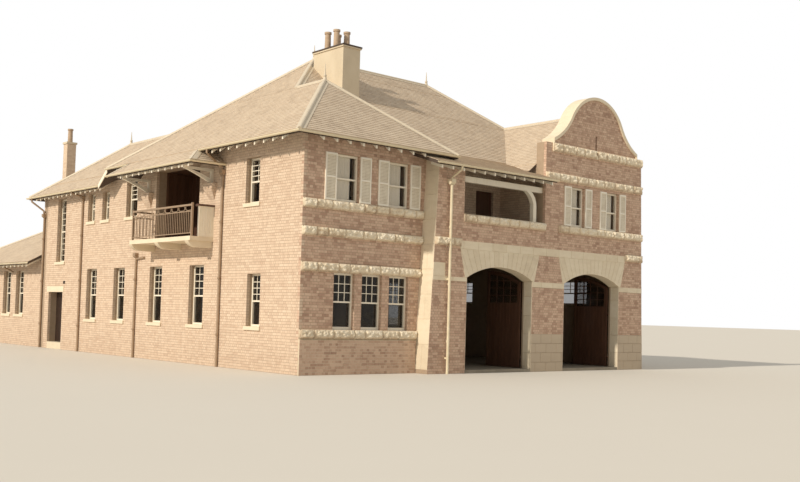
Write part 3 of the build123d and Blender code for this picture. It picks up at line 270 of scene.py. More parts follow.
# Lead: dull rolled sheet with a pale oxide bloom, the light line on every ridge and hip.
lead = mottled(
    "rolled lead", roughness=0.6, scale=7.0, gain=0.8,
    colours=[(0.0, "#B5A894"), (0.5, "#D3C6B0"), (1.0, "#E4DAC6")], bump=(40.0, 0.002), metallic=0.1)

# Cream timber: oil paint over planed wood with slight dirt, a warm light trim.
creamTimber = mottled(
    "cream painted timber", roughness=0.5, scale=8.0, gain=0.7, toneGain=0.4, stretch=(1.0, 1.0, 0.25),
    colours=[(0.0, "#C9BAA2"), (0.45, "#F0E7D3"), (1.0, "#F6EFE0")], bump=(120.0, 0.0006), coat=0.15)

# Dark timber: brown painted boards, near black in the deep arches. In the balcony's recess it is also painted
# shade.
darkTimber = mottled(
    "dark painted boards", roughness=0.5, scale=6.0, gain=0.7, toneGain=0.5, stretch=(1.0, 1.0, 0.2),
    colours=[(0.0, "#35251B"), (0.5, "#54392A"), (1.0, "#715240")], bump=(90.0, 0.001), coat=0.2)

# Door timber: nearly black paint, so the street door reads as a dark hole in the bright wall.
doorTimber = mottled(
    "black painted timber", roughness=0.45, scale=6.0, gain=0.7, toneGain=0.5, stretch=(1.0, 1.0, 0.2),
    colours=[(0.0, "#1B120D"), (0.5, "#2E1F17"), (1.0, "#453125")], bump=(90.0, 0.001), coat=0.2)

# Render: lime plaster with broad stains, the flat pale face of the main stack.
render = mottled(
    "lime render", roughness=0.93, scale=1.6, gain=0.9, stretch=(1.0, 1.0, 0.5),
    colours=[(0.0, "#B9A98F"), (0.5, "#D2C3A9"), (1.0, "#DFD3BC")], bump=(26.0, 0.006))

# Clay: fired pots with cloudy stains.
clay = mottled(
    "fired clay", roughness=0.8, scale=7.0, gain=0.9,
    colours=[(0.0, "#88735F"), (0.5, "#B79F85"), (1.0, "#CDB8A0")], bump=(50.0, 0.001))

# Concrete: trowelled floor with faint cloudy wear.
concrete = mottled(
    "trowelled concrete", roughness=0.85, scale=2.2, gain=0.8,
    colours=[(0.0, "#6F675B"), (0.5, "#8D8474"), (1.0, "#A69C8B")], bump=(80.0, 0.001))

# Floor boards: plain planks with open joints every 150 mm.
floorBoards = mottled(
    "plain floor boards", roughness=0.6, scale=4.0, gain=0.8, stretch=(3.0, 0.25, 1.0),
    colours=[(0.0, "#5E472E"), (0.5, "#7F6344"), (1.0, "#9B7D59")], grooves=("X", 0.15, 0.005, "#2C2016"))

# Painted iron: faded brown paint on cast iron, soft sheen on pipes and railing.
paintedIron = mottled(
    "brown painted iron", roughness=0.45, scale=10.0, gain=0.7, toneGain=0.4,
    colours=[(0.0, "#7C6753"), (0.5, "#A48C73"), (1.0, "#BBA48A")], bump=(140.0, 0.0006), metallic=0.2)

# Cream iron: pale oil paint on cast gutters and the bay's pipe, with faint rust bleeding through.
creamIron = mottled(
    "cream painted iron", roughness=0.45, scale=5.0, gain=0.8, toneGain=0.3,
    colours=[(0.0, "#B79F7B"), (0.35, "#D8C9A8"), (1.0, "#EEE4CB")], bump=(140.0, 0.0006), coat=0.2)

# Wrought iron: black hooks and vent bars with hammered unevenness.
wroughtIron = mottled(
    "black wrought iron", roughness=0.5, scale=12.0, gain=0.7,
    colours=[(0.0, "#171513"), (0.5, "#282522"), (1.0, "#3B3733")], bump=(60.0, 0.001), metallic=0.7)

# Curtain: light cotton close behind the panes, which gives the upper windows their pale fill.
curtain = mottled(
    "cotton curtain", roughness=0.95, scale=5.0, gain=0.4, stretch=(1.0, 1.0, 0.2),
    colours=[(0.0, "#E0D6C2"), (0.5, "#EFE7D6"), (1.0, "#F6F0E2")])

# Glass: thin old drawn panes. Painted shade: their dark colour stands in for the dark rooms behind, strong up
# to 3.7 m and faint above 4.2 m, where the panes are nearly clear.
glass, glassTree, glassShader = startMaterial("window glass", {"Roughness": 0.04, "IOR": 1.52})
waves = addNode(glassTree, "TexNoise", {
    "Vector": addNode(glassTree, "TexCoord").outputs["Object"], "Scale": 3.0, "Detail": 1.0})
paneShade = addNode(glassTree, "ValToRGB", {"Fac": waves.outputs["Fac"]})
setRamp(paneShade, [(0.3, "#1D1B18"), (0.7, "#2B2824")])
glassTree.links.new(paneShade.outputs["Color"], glassShader.inputs["Base Color"])
glassPlace = addNode(glassTree, "SeparateXYZ", {0: addNode(glassTree, "NewGeometry").outputs["Position"]})
roomShadeAlpha = addNode(glassTree, "MapRange", {"Value": glassPlace.outputs["Z"], "From Min": 3.7, "From Max": 4.2,
                                       "To Min": 0.45, "To Max": 0.08})
glassTree.links.new(roomShadeAlpha.outputs[0], glassShader.inputs["Alpha"])
ripple = addNode(glassTree, "Bump", {"Height": waves.outputs["Fac"], "Distance": 0.004, "Strength": 0.6})
glassTree.links.new(ripple.outputs["Normal"], glassShader.inputs["Normal"])

bySlot = {"brick": mortar, "dressed_stone": dressedStone, "rock_faced_stone": rockStone,
          "roof_slate": roofBed, "lead_roll": lead, "cream_timber": creamTimber, "dark_timber": darkTimber,
          "cream_iron": creamIron, "render": render, "clay": clay, "concrete": concrete,
          "floor_boards": floorBoards, "painted_iron": paintedIron, "wrought_iron": wroughtIron,
          "window_pane": glass}
for part in frame["record"]["subparts"]:
    mesh = nodes[part["node"]].data
    mesh.materials.clear()
    mesh.materials.append(bySlot[part["material_slot"]])
doorLeaves = ("side_door_near_leaf", "side_door_far_leaf")
for name in doorLeaves:
    nodes[name].data.materials[0] = doorTimber
# Painted shade: the recess walls take the dark boards' colour for the shade deep in the balcony's recess
nodes["recess_walls"].data.materials[0] = darkTimber
print("materials made")


# Flat faces of a CAD node, as planes with their outlines

def planesOf(name):
    mesh = nodes[name].data
    mesh.calc_loop_triangles()
    points = np.empty(len(mesh.vertices) * 3)
    mesh.vertices.foreach_get("co", points)
    points = points.reshape(-1, 3)
    index = np.empty(len(mesh.loop_triangles) * 3, np.int32)
    mesh.loop_triangles.foreach_get("vertices", index)
    corners = points[index].reshape(-1, 3, 3)
    cross = np.cross(corners[:, 1] - corners[:, 0], corners[:, 2] - corners[:, 0])
    length = np.linalg.norm(cross, axis=1)
    good = length > 1e-8
    corners, cross, length = corners[good], cross[good], length[good]
    normals = cross / length[:, None]
    offsets = np.einsum("ij,ij->i", normals, corners[:, 0])
    used = np.zeros(len(corners), bool)
    found = []
    for i in np.argsort(-length):
        if used[i]:
            continue
        same = (normals @ normals[i] > 0.99995) & (np.abs(offsets - offsets[i]) < 0.002) & ~used
        used |= same
        found.append({"normal": Vector(normals[i]), "offset": float(offsets[i]), "triangles": corners[same],
                      "area": float(length[same].sum() / 2), "number": len(found)})
    return found


def axesOf(plane):
    normal = plane["normal"]
    across = Vector((0, 0, 1)).cross(normal).normalized()
    return across, normal.cross(across), normal


# Edges that only one triangle has, in the order in which they are met
def borderOf(triangles, digits):
    count = {}
    for triangle in triangles:
        for i in range(3):
            a = tuple(np.round(triangle[i], digits))
            b = tuple(np.round(triangle[(i + 1) % 3], digits))
            key = (a, b) if a < b else (b, a)
            count[key] = count.get(key, 0) + 1
    return [key for key, times in count.items() if times == 1]


def outlineOf(plane):
    across, up = axesOf(plane)[:2]
    triangles = plane["triangles"]
    flat = np.stack([triangles @ np.array(across), triangles @ np.array(up)], axis=2)
    edges = []
    for a, b in borderOf(flat, 4):
        if abs(a[1] - b[1]) > 1e-5:
            edges.append((*a, *b) if a[1] < b[1] else (*b, *a))
    return np.array(edges).reshape(-1, 4)


def spansAt(edges, low, high):
    middle = (low + high) / 2
    rows = edges[(edges[:, 1] < middle) & (edges[:, 3] > middle)]
    rate = (rows[:, 2] - rows[:, 0]) / (rows[:, 3] - rows[:, 1])
    order = np.argsort(rows[:, 0] + rate * (middle - rows[:, 1]))
    below = (rows[:, 0] + rate * (low - rows[:, 1]))[order]
    above = (rows[:, 0] + rate * (high - rows[:, 1]))[order]
    spans = []
    for i in range(0, len(order) - 1, 2):
        if spans and below[i] - spans[-1][1] < 0.003 and above[i] - spans[-1][3] < 0.003:
            spans[-1][1], spans[-1][3] = below[i + 1], above[i + 1]
        else:
            spans.append([below[i], below[i + 1], above[i], above[i + 1]])
    return spans


def steps(edges, low, high, snap):
    inner = sorted(set(np.round(np.concatenate([edges[:, 1], edges[:, 3]]), 4)))
    levels = [low]
    for level in inner:
        if low + snap < level < high - snap and level - levels[-1] > snap:
            levels.append(level)
    return list(zip(levels, levels[1:] + [high]))


# Rows of flat units on a plane: bricks, ashlar or slates

def layRows(build, plane, rows, unit, clip=None, salt=0):
    across, up, normal = axesOf(plane)
    edges = outlineOf(plane)
    if not len(edges):
        return
    origin = normal * plane["offset"]
    bottom, top = edges[:, 1].min(), edges[:, 3].max()
    gap, proud, chamfer, tail = unit["gap"], unit["proud"], unit["chamfer"], unit.get("tail", 0.0)
    for number, low, high, pitch, shift in rows:
        if high <= bottom or low >= top:
            continue
        rowLow, rowHigh = max(low + gap / 2, bottom), min(high - gap / 2, top)
        if rowHigh - rowLow < 0.008:
            continue
        for a, b in steps(edges, rowLow, rowHigh, 0.007):
            for leftA, rightA, leftB, rightB in spansAt(edges, a, b):
                if clip:
                    leftA, leftB = max(leftA, clip[0]), max(leftB, clip[0])
                    rightA, rightB = min(rightA, clip[1]), min(rightB, clip[1])
                start, end = min(leftA, leftB), max(rightA, rightB)
                first = math.floor((start - shift) / pitch)
                last = math.floor((end - shift) / pitch)
                for k in range(first, last + 1):
                    s = shift + k * pitch + gap / 2
                    e = s + pitch - gap
                    quad = [(min(max(s, leftA), rightA), a), (min(max(e, leftA), rightA), a),
                            (min(max(e, leftB), rightB), b), (min(max(s, leftB), rightB), b)]
                    if quad[1][0] - quad[0][0] < 0.006 and quad[2][0] - quad[3][0] < 0.006:
                        continue
                    tone = (chance(number, k, salt) - 0.5) * unit.get("spread", 1.0) + unit.get("shade", 0.0)
                    lift = proud * (0.85 + 0.3 * chance(k, number, salt + 7))
                    putUnit(build, quad, origin, across, up, normal, lift, chamfer, tail, tone)


def putUnit(build, quad, origin, across, up, normal, lift, chamfer, tail, tone):
    points = [tuple(origin + across * u + up * v) for u, v in quad]
    heights = (lift + tail, lift + tail, lift, lift)
    ins = ((chamfer, chamfer), (-chamfer, chamfer), (-chamfer, -chamfer), (chamfer, -chamfer))
    least = min(quad[1][0] - quad[0][0], quad[2][0] - quad[3][0], quad[2][1] - quad[1][1])
    for (u, v), h, (du, dv) in zip(quad, heights, ins):
        if least < 4 * chamfer:
            du = dv = 0.0
        points.append(tuple(origin + across * (u + du) + up * (v + dv) + normal * h))
    build.put(points, [(4, 5, 6, 7)] + boxFaces[2:], tone)


# Courses of 86 mm, stretchers of 240 mm and headers of 120 mm in turn
def brickRows(low, high, course=0.086):
    rows = []
    first, last = math.floor(low / course + 1e-6), math.ceil(high / course - 1e-6)
    for i in range(first, last):
        a, b = max(i * course, low), min((i + 1) * course, high)
        if b - a > 0.02:
            rows.append((i, a, b, 0.24, 0.0) if i % 2 else (i, a, b, 0.12, 0.06))
    return rows


def ashlarRows(low, high, count, length):
    height = (high - low) / count
    return [(500 + i, low + i * height, low + (i + 1) * height, length, (i % 2) * length / 2)
            for i in range(count)]


brickUnit = {"gap": 0.010, "proud": 0.005, "chamfer": 0.0025}
ashlarUnit = {"gap": 0.008, "proud": 0.012, "chamfer": 0.004, "spread": 0.5}


def looking(plane, normal, offset=None, slack=0.03):
    if plane["normal"].dot(Vector(normal)) < 0.985:
        return False
    return offset is None or abs(plane["offset"] - offset) < slack


def revealClip(plane, wallNormal, wallOffset, depth):
    across = axesOf(plane)[0]
    side = across.dot(Vector(wallNormal))
    if abs(side) < 0.9:
        return None
    edge = wallOffset * side
    return (edge - depth, edge) if side > 0 else (edge, edge + depth)


allRows = brickRows(0.0, 12.0)


# Bricks on the wall's faces, and on the reveals at its openings down to the given depth
def brickWall(build, name, faces, depth=0.11, salt=0):
    planes = planesOf(name)
    for normal, offset in faces:
        normal = Vector(normal)
        for plane in planes:
            if looking(plane, normal, offset):
                layRows(build, plane, allRows, brickUnit, salt=salt)
            elif upright(plane, 0.05, 0.3) and abs(plane["normal"].dot(normal)) < 0.3:
                clip = revealClip(plane, normal, offset, depth)
                if clip:
                    layRows(build, plane, allRows, brickUnit, clip=clip, salt=salt + 3)


def upright(plane, area, steep=0.1):
    return abs(plane["normal"].z) < steep and plane["area"] > area


left, right, front, back = (-1, 0, 0), (1, 0, 0), (0, -1, 0), (0, 1, 0)
cornerX, cornerY = corner.x, corner.y


# A wall face: its outward normal and its offset, from its place in metres from the street corner
def wallFace(normal, place):
    return normal, ((cornerX if normal[0] else cornerY) + place) * (normal[0] + normal[1])


street = wallFace(left, 0)
skins = [
    ("front_wall_bricks", [("front_wall", [wallFace(front, 0)])], faceBrick),
    ("side_wall_bricks", [(name, [street]) for name in ("side_wall", "side_wall_over_door", "side_wall_end",
                                                        "front_wall")], brick),
    ("wing_wall_bricks", [("wing_walls", [wallFace(right, 5.3), wallFace(back, 19.4)])], brick),
    ("low_wing_bricks", [("low_wing_walls", [street, wallFace(right, 5.3), wallFace(back, 28.65)])], brick),
    ("rear_wall_bricks", [(name, [wallFace(back, 11.2)]) for name in ("rear_wall", "right_wall")], brick),
    ("right_wall_bricks", [(name, [wallFace(right, 15.5)]) for name in ("right_wall", "rear_wall")], brick),
    ("loggia_wall_bricks", [("loggia_walls", [wallFace(front, 1.55), wallFace(right, 4.99),
                                              wallFace(left, 9.98)])], brick),
]
for skinName, parts, material in skins:
    build = Build()
    for number, (name, faces) in enumerate(parts):
        brickWall(build, name, faces, salt=number * 11)
    makePiece(skinName, build, material)

pierSettings = {"split": 6.25, "end": 20, "top": 8.0, "houseEnd": 5.0, "baseTop": 1.31, "courseLow": 2.93,
                "courseHigh": 3.25, "leftLow": 2.98, "leftHigh": 3.56, "jambDepth": 0.375}
bayFront = -0.62
engineFace = wallFace(front, bayFront)


def clippedFace(build, rows, u0, u1, unit, salt):
    for plane in planesOf("engine_piers"):
        if looking(plane, *engineFace):
            layRows(build, plane, rows, unit, clip=(cornerX + u0, cornerX + u1), salt=salt)


bayBuild, pierStones = Build(), Build()
p = pierSettings
split, end = p["split"], p["end"]
leftBricks = brickRows(0.0, p["leftLow"]) + brickRows(p["leftHigh"], p["top"])
rightBricks = brickRows(p["baseTop"], p["courseLow"]) + brickRows(p["courseHigh"], p["top"])
clippedFace(bayBuild, leftBricks, 0, split, brickUnit, 1)
clippedFace(bayBuild, rightBricks, split, end, brickUnit, 2)
clippedFace(pierStones, ashlarRows(p["leftLow"], p["leftHigh"], 1, 0.9), 0, split, ashlarUnit, 3)
clippedFace(pierStones, ashlarRows(0.0, p["baseTop"], 4, 0.56), split, end, dict(ashlarUnit, shade=-1.4), 4)
clippedFace(pierStones, ashlarRows(p["courseLow"], p["courseHigh"], 1, 0.62), split, end, ashlarUnit, 6)
pierSides = [plane for plane in planesOf("engine_piers") if abs(plane["normal"].x) > 0.9]


def battered(plane):
    return plane["normal"].x < 0 and -plane["offset"] < cornerX + pierSettings["houseEnd"]


for plane in pierSides:
    if plane["area"] > 0.1 and not battered(plane):
        # The stones stop short of the closed leaves, which stand 0.39 m behind the front
        clip = revealClip(plane, *engineFace, p["jambDepth"])
        layRows(pierStones, plane, ashlarRows(0.0, p["courseHigh"], 5, 0.9),
                dict(ashlarUnit, gap=0.004, shade=0.3), clip=clip, salt=5)
brickWall(bayBuild, "bay_brickwork", [engineFace], depth=0.45, salt=5)
brickWall(bayBuild, "gable_wall", [engineFace, wallFace(right, 15.65)], salt=9)
batterUnit = dict(ashlarUnit, gap=0.003, proud=0.008)
for plane in pierSides:
    if plane["area"] > 0.5 and battered(plane):
        layRows(pierStones, plane, ashlarRows(0.0, 7.2, 9, 0.8), batterUnit, salt=71)
makePiece("bay_bricks", bayBuild, faceBrick)
makePiece("pier_ashlar", pierStones, dressedStone)


def dressPlanes(pieceName, nodeName, wanted, rows, material, salt, unit=brickUnit, step=0):
    build = Build()
    for plane in planesOf(nodeName):
        if wanted(plane):
            layRows(build, plane, rows, unit, salt=salt + step * plane["number"])
    makePiece(pieceName, build, material)


def lowStack(plane):
    return upright(plane, 0.3) and plane["triangles"][:, :, 1].min() > cornerY + 15


recessLow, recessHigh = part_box("recess_walls")
recessMiddle = (recessLow + recessHigh) / 2


def recessSide(plane):
    return upright(plane, 0.3) and plane["normal"].dot(recessMiddle) - plane["offset"] > 0.2


def headSide(plane):
    return upright(plane, 0.01, 0.75)


def plinthFace(plane):
    return looking(plane, *wallFace(front, -0.06), 0.004)


boardUnit = {"gap": 0.008, "proud": 0.016, "chamfer": 0.004, "shade": 0.3}
boardRows = [(0, recessLow.z, recessHigh.z, 0.16, 0.0)]
dressPlanes("chimney_bricks", "chimneys", lowStack, allRows, brick, 21)
# Painted shade: dark boards on the recess sides, for the shade within the balcony's recess
dressPlanes("recess_boards", "recess_walls", recessSide, boardRows, darkTimber, 90, boardUnit,
            1)
dressPlanes("bracket_head_bricks", "bracket_heads", headSide, allRows, brick, 31)
dressPlanes("plinth_bricks", "front_bands", plinthFace, brickRows(0.0, 1.07), faceBrick, 41)


# Slates: each course 130 mm up the slope from the last, with joints every 200 mm

slateUnit = {"gap": 0.004, "proud": 0.004, "chamfer": 0.0, "tail": 0.014}
slateSettings = {"exposure": 0.13, "width": 0.2, "lowest": 3.2, "courses": 130}
roofNames = ("main_roof", "bay_roof", "wing_roof", "low_roof")


def slateRows(plane):
    s = slateSettings
    normal = plane["normal"]
    rise = math.sqrt(1 - normal.z ** 2)
    rows = []
    for i in range(s["courses"]):
        z = s["lowest"] + i * s["exposure"] * rise
        low = (z - plane["offset"] * normal.z) / rise
        rows.append((i, low, low + s["exposure"], s["width"], (i % 2) * s["width"] / 2))
    return rows


def slopesOf(roofName, area):
    return [plane for plane in planesOf(roofName) if 0.5 < plane["normal"].z < 0.99 and plane["area"] > area]


for roofName in roofNames:
    build = Build()
    for plane in slopesOf(roofName, 0.2):
        layRows(build, plane, slateRows(plane), slateUnit, salt=50 + plane["number"])
    makePiece(roofName + "_slates", build, slate)
print("bricks and slates laid")


# Lead wings beside every hip and ridge, dressed down over the slates

leadSettings = {"width": 0.15, "lift": 0.019, "thick": 0.004}


def putStrip(build, a, b, inward, normal):
    width, lift, thick = leadSettings["width"], leadSettings["lift"], leadSettings["thick"]
    way = (b - a).normalized()
    slip = min(0.8 * width, (b - a).length / 3)
    flat = [a, b, b - way * slip + inward * width, a + way * slip + inward * width]
    if (flat[1] - flat[0]).cross(flat[2] - flat[1]).dot(normal) < 0:
        flat.reverse()
    points = [tuple(p + normal * lift) for p in flat] + [tuple(p + normal * (lift + thick)) for p in flat]
    build.put(points, boxFaces, chance(a.x * 100, a.y * 100, b.z * 100) - 0.5)


leadBuild = Build()
roofPlanes = []
for roofName in roofNames:
    for plane in slopesOf(roofName, 0.4):
        middle = Vector(plane["triangles"].reshape(-1, 3).mean(0))
        roofPlanes.append((plane, set(borderOf(plane["triangles"], 3)), middle))
for i, (one, edges, middle) in enumerate(roofPlanes):
    for other, otherEdges, otherMiddle in roofPlanes[i + 1:]:
        for a, b in edges & otherEdges:
            a, b = Vector(a), Vector(b)
            if (b - a).length < 0.5 or one["normal"].dot(otherMiddle - a) > -0.02:
                continue
            for plane, centre in ((one, middle), (other, otherMiddle)):
                normal = plane["normal"]
                inward = normal.cross(b - a).normalized()
                if inward.dot(centre - a) < 0:
                    inward.negate()
                putStrip(leadBuild, a, b, inward, normal)
makePiece("lead_wings", leadBuild, lead)


# Rock-faced bands: broken faces within a narrow chiselled margin

rockSettings = {"cell": 0.03, "margin": 0.05, "grain": (6.5, 7.5, 3.7), "fine": 2.7, "least": 0.004}


def gridFaces(columns, rows):
    width = columns + 1
    return [(j * width + i, j * width + i + 1, (j + 1) * width + i + 1, (j + 1) * width + i)
            for j in range(rows) for i in range(columns)]


def putRock(build, plane, u0, u1, v0, v1, bulge, seed):
    r = rockSettings
    across, up, normal = axesOf(plane)
    origin = normal * plane["offset"]
    columns, rows = max(4, round((u1 - u0) / r["cell"])), max(4, round((v1 - v0) / r["cell"]))
    points = []
    heights = []
    for j in range(rows + 1):
        for i in range(columns + 1):
            s, t = i / columns, j / rows
            u, v = u0 + (u1 - u0) * s, v0 + (v1 - v0) * t
            edge = min(s * (u1 - u0), (1 - s) * (u1 - u0), t * (v1 - v0) * 0.8, (1 - t) * (v1 - v0) * 1.4)
            swell = min(1.0, edge / r["margin"])
            where = Vector((u * r["grain"][0], v * r["grain"][1], seed * r["grain"][2]))
            facet = 1 - noise.voronoi(where)[0][0]
            height = bulge * swell * (0.15 + 0.85 * facet + 0.3 * noise.noise(where * r["fine"]))
            if 0 < i < columns and 0 < j < rows:
                height += r["least"]
            heights.append(max(height, 0.0))
            points.append(tuple(origin + across * u + up * v + normal * heights[-1]))
    faces = gridFaces(columns, rows)
    own = chance(seed, 5) - 0.5
    build.put(points, faces, own)
    # Painted shade: hollows are darker and so is the foot of each stone, and the top of each stone is painted
    # lighter
    build.tones[-len(faces):] = [0.6 * own + 0.05 + 0.6 * (heights[f[0]] + heights[f[2]] - bulge) / bulge +
                                 0.6 * (f[0] // (columns + 1) / rows - 0.4) for f in faces]


def rockBand(build, plane, bulge, salt, v0, v1, low=0.38, high=0.8):
    edges = outlineOf(plane)
    for leftA, rightA, leftB, rightB in spansAt(edges, v0 + 1e-4, v1 - 1e-4):
        u, end = max(leftA, leftB), min(rightA, rightB)
        number = 0
        while end - u > 0.05:
            length = low + (high - low) * chance(number, salt)
            stop = u + length if end - u - length > low * 0.7 else end
            putRock(build, plane, u + 0.004, stop - 0.004, v0 + 0.003, v1 - 0.003, bulge, salt * 31 + number)
            u = stop
            number += 1


bandSettings = {"levels": ((1.07, 1.34), (3.05, 3.328), (4.11, 4.378), (4.93, 5.20), (6.76, 7.05),
                           (7.80, 8.11)), "bulge": 0.1, "endBulge": 0.02}
bandBuild = Build()
for name, salt in (("front_bands", 7), ("bay_bands", 27)):
    for plane in planesOf(name):
        low, high = plane["triangles"][:, :, 2].min(), plane["triangles"][:, :, 2].max()
        for number, (a, b) in enumerate(bandSettings["levels"]):
            if a <= low - 0.01 or b >= high + 0.01:
                continue
            if looking(plane, front) and plane["area"] > 0.05:
                rockBand(bandBuild, plane, bandSettings["bulge"], salt + number, a, b)
            elif looking(plane, left) and plane["area"] > 0.005:
                rockBand(bandBuild, plane, bandSettings["endBulge"], 50 + number, a, b, 2.0, 2.5)
makePiece("rock_faced_bands", bandBuild, rockStone)


# Arch stones: wedges that point to the centre of each arch, and ashlar in the course above

archSettings = {"centres": (7.79, 12.69), "half": 1.6, "spring": 3.12, "rise": 0.41, "foot": 1.69,
                "head": 1.93, "top": 4.05, "courseTop": 4.32, "stone": 0.68, "count": 15, "trim": 0.004}


def rayHit(angle, centreZ):
    s = archSettings
    slopeX = math.tan(angle)
    topX = slopeX * (s["top"] - centreZ)
    if abs(topX) <= s["head"]:
        return topX, s["top"]
    rate = (s["head"] - s["foot"]) / (s["top"] - s["spring"])
    side = 1 if angle > 0 else -1
    z = (s["foot"] - rate * s["spring"] + abs(slopeX) * centreZ) / (abs(slopeX) - rate)
    return side * (s["foot"] + rate * (z - s["spring"])), z


def archWedges(build):
    s = archSettings
    radius = (s["half"] ** 2 + s["rise"] ** 2) / (2 * s["rise"])
    centreZ = s["spring"] + s["rise"] - radius
    limit = math.atan(s["head"] / (s["top"] - centreZ))
    springAngle = math.asin(s["half"] / radius)
    trim = s["trim"] / radius

    def onArch(angle):
        return radius * math.sin(angle), centreZ + radius * math.cos(angle)

    angles = [-limit + 2 * limit * i / s["count"] for i in range(s["count"] + 1)]
    for arch, centre in enumerate(s["centres"]):
        for number in range(s["count"]):
            a, b = angles[number] + trim, angles[number + 1] - trim
            outline = [onArch(a + (b - a) * i / 3) for i in range(4)]
            outline += [rayHit(b, centreZ), rayHit(a, centreZ)]
            putStone(build, [(centre + x, z) for x, z in outline], bayFront, number + 40 * arch)
        for side in (-1, 1):
            a = side * (limit + trim)
            outline = [onArch(a), onArch(side * springAngle), (side * s["foot"], s["spring"]),
                       rayHit(a, centreZ)]
            if side > 0:
                outline.reverse()
            putStone(build, [(centre + x, z) for x, z in outline], bayFront, 90 + side + 40 * arch)


def putStone(build, outline, y, seed, proud=0.012, chamfer=0.005):
    if sum(a[0] * b[1] - b[0] * a[1] for a, b in zip(outline, outline[1:] + outline[:1])) < 0:
        outline = outline[::-1]
    count = len(outline)
    middleX = sum(p[0] for p in outline) / count
    middleZ = sum(p[1] for p in outline) / count
    points = [tuple(at(x, y, z)) for x, z in outline]
    for x, z in outline:
        reach = math.hypot(x - middleX, z - middleZ)
        share = 1 - chamfer / max(reach, 0.02)
        points.append(tuple(at(middleX + (x - middleX) * share, y - proud, middleZ + (z - middleZ) * share)))
    build.put(points, [tuple(range(count, 2 * count))] + sideFaces(count), 0.5 * chance(seed, 77) - 0.25)


wedgeBuild = Build()
archWedges(wedgeBuild)
courseRows = ashlarRows(archSettings["top"], archSettings["courseTop"], 1, archSettings["stone"])
for plane in planesOf("arch_stones"):
    if looking(plane, *engineFace, 0.02) and plane["triangles"][:, :, 2].max() > 4.1:
        layRows(wedgeBuild, plane, courseRows, ashlarUnit, salt=61)
makePiece("arch_voussoirs", wedgeBuild, dressedStone)


# Windows: bars, curtains, and the boxes of a CAD node's separate solids

def islandsOf(name):
    mesh = nodes[name].data
    keys = {}
    parent = []
    index = []
    for vertex in mesh.vertices:
        key = tuple(round(c, 4) for c in vertex.co)
        if key not in keys:
            keys[key] = len(parent)
            parent.append(len(parent))
        index.append(keys[key])

    def root(i):
        while parent[i] != i:
            parent[i] = parent[parent[i]]
            i = parent[i]
        return i

    for polygon in mesh.polygons:
        first = root(index[polygon.vertices[0]])
        for v in polygon.vertices[1:]:
            parent[root(index[v])] = first
    groups = {}
    for key, i in keys.items():
        groups.setdefault(root(i), []).append(key)
    boxes = []
    for members in groups.values():
        spots = np.array(members)
        boxes.append((Vector(spots.min(0)), Vector(spots.max(0))))
    return sorted(boxes, key=lambda b: tuple(round(c, 3) for c in b[0]))


windowSettings = {"frame": 0.06, "rail": 0.05, "share": 0.49, "bar": 0.022, "deep": 0.026, "step": 0.002,
                  "upperDepth": 0.013, "lowerDepth": 0.045, "footRail": 0.03}
curtainSettings = {"columns": 26, "rows": 8, "thick": 0.004, "margin": 0.05, "start": -0.9, "end": 0.5,
                   "depth": 0.10, "broadFold": 0.007, "fineFold": 0.004}


def windowAxes(low, high, outward):
    outward = Vector(outward)
    across = Vector((0, 0, 1)).cross(outward)
    return {"across": across, "outward": outward, "base": across * across.dot((low + high) / 2),
            "half": abs((high - low).dot(across)) / 2, "face": max(low.dot(outward), high.dot(outward))}


# The point at u across, as far out as reach, and at height z
def windowPoint(axes, u, reach, z):
    return tuple(axes["base"] + axes["across"] * u + axes["outward"] * reach + Vector((0, 0, z)))


def putBar(build, axes, u0, u1, z0, z1, d0, d1, tone=0.0):
    corners = [windowPoint(axes, u, axes["face"] - d, z)
               for d in (d1, d0) for u, z in ((u0, z0), (u1, z0), (u1, z1), (u0, z1))]
    build.put(corners, boxFaces, tone)


def sashBars(build, low, high, outward, columns, rows, both=False):
    s = windowSettings
    axes = windowAxes(low, high, outward)
    half, bar = axes["half"], s["bar"]
    rail = low.z + (high.z - low.z) * s["share"]
    sashes = [(rail + s["rail"] / 2, high.z - s["frame"], s["upperDepth"])]
    if both:
        sashes.append((low.z + s["frame"] + s["footRail"], rail - s["rail"] / 2, s["lowerDepth"]))
    for z0, z1, depth in sashes:
        for i in range(1, columns):
            u = -half + s["frame"] + (2 * half - 2 * s["frame"]) * i / columns
            putBar(build, axes, u - bar / 2, u + bar / 2, z0, z1, depth, depth + s["deep"])
        for j in range(1, rows):
            z = z0 + (z1 - z0) * j / rows
            putBar(build, axes, -half + s["frame"], half - s["frame"], z - bar / 2, z + bar / 2,
                   depth + s["step"], depth + s["deep"] - s["step"])


def putCurtain(build, low, high, outward):
    c = curtainSettings
    axes = windowAxes(low, high, outward)
    columns, rows = c["columns"], c["rows"]
    points = []
    for layer in (0.0, c["thick"]):
        for j in range(rows + 1):
            for i in range(columns + 1):
                s, t = i / columns, j / rows
                u = axes["half"] * (c["start"] + (c["end"] - c["start"]) * s)
                fold = c["broadFold"] * math.sin(s * 23) + c["fineFold"] * math.sin(s * 51 + t * 2)
                z = low.z + c["margin"] + (high.z - low.z - 2 * c["margin"]) * t
                points.append(windowPoint(axes, u, axes["face"] - c["depth"] + fold - layer, z))
    back = (columns + 1) * (rows + 1)
    faces = []
    for quad in gridFaces(columns, rows):
        faces += [quad, tuple(back + q for q in reversed(quad))]
    build.put(points, faces)


barBuild, curtainBuild = Build(), Build()
for low, high in islandsOf("front_windows"):
    if low.z < 4:
        sashBars(barBuild, low, high, front, 3, 3)
    else:
        putCurtain(curtainBuild, low, high, front)
for low, high in islandsOf("side_windows"):
    if high.z - low.z > 2.4:
        sashBars(barBuild, low, high, left, 2, 5, both=True)
    elif high.z - low.z > 1.5 and low.z < 3:
        sashBars(barBuild, low, high, left, 3, 4)
    else:
        sashBars(barBuild, low, high, left, 2, 4)
for low, high in islandsOf("yard_windows"):
    outward = back if high.y - low.y < 0.12 else right
    sashBars(barBuild, low, high, outward, 3, 3)
makePiece("window_bars", barBuild, creamTimber)
makePiece("window_curtains", curtainBuild, curtain)


# Shutter louvres

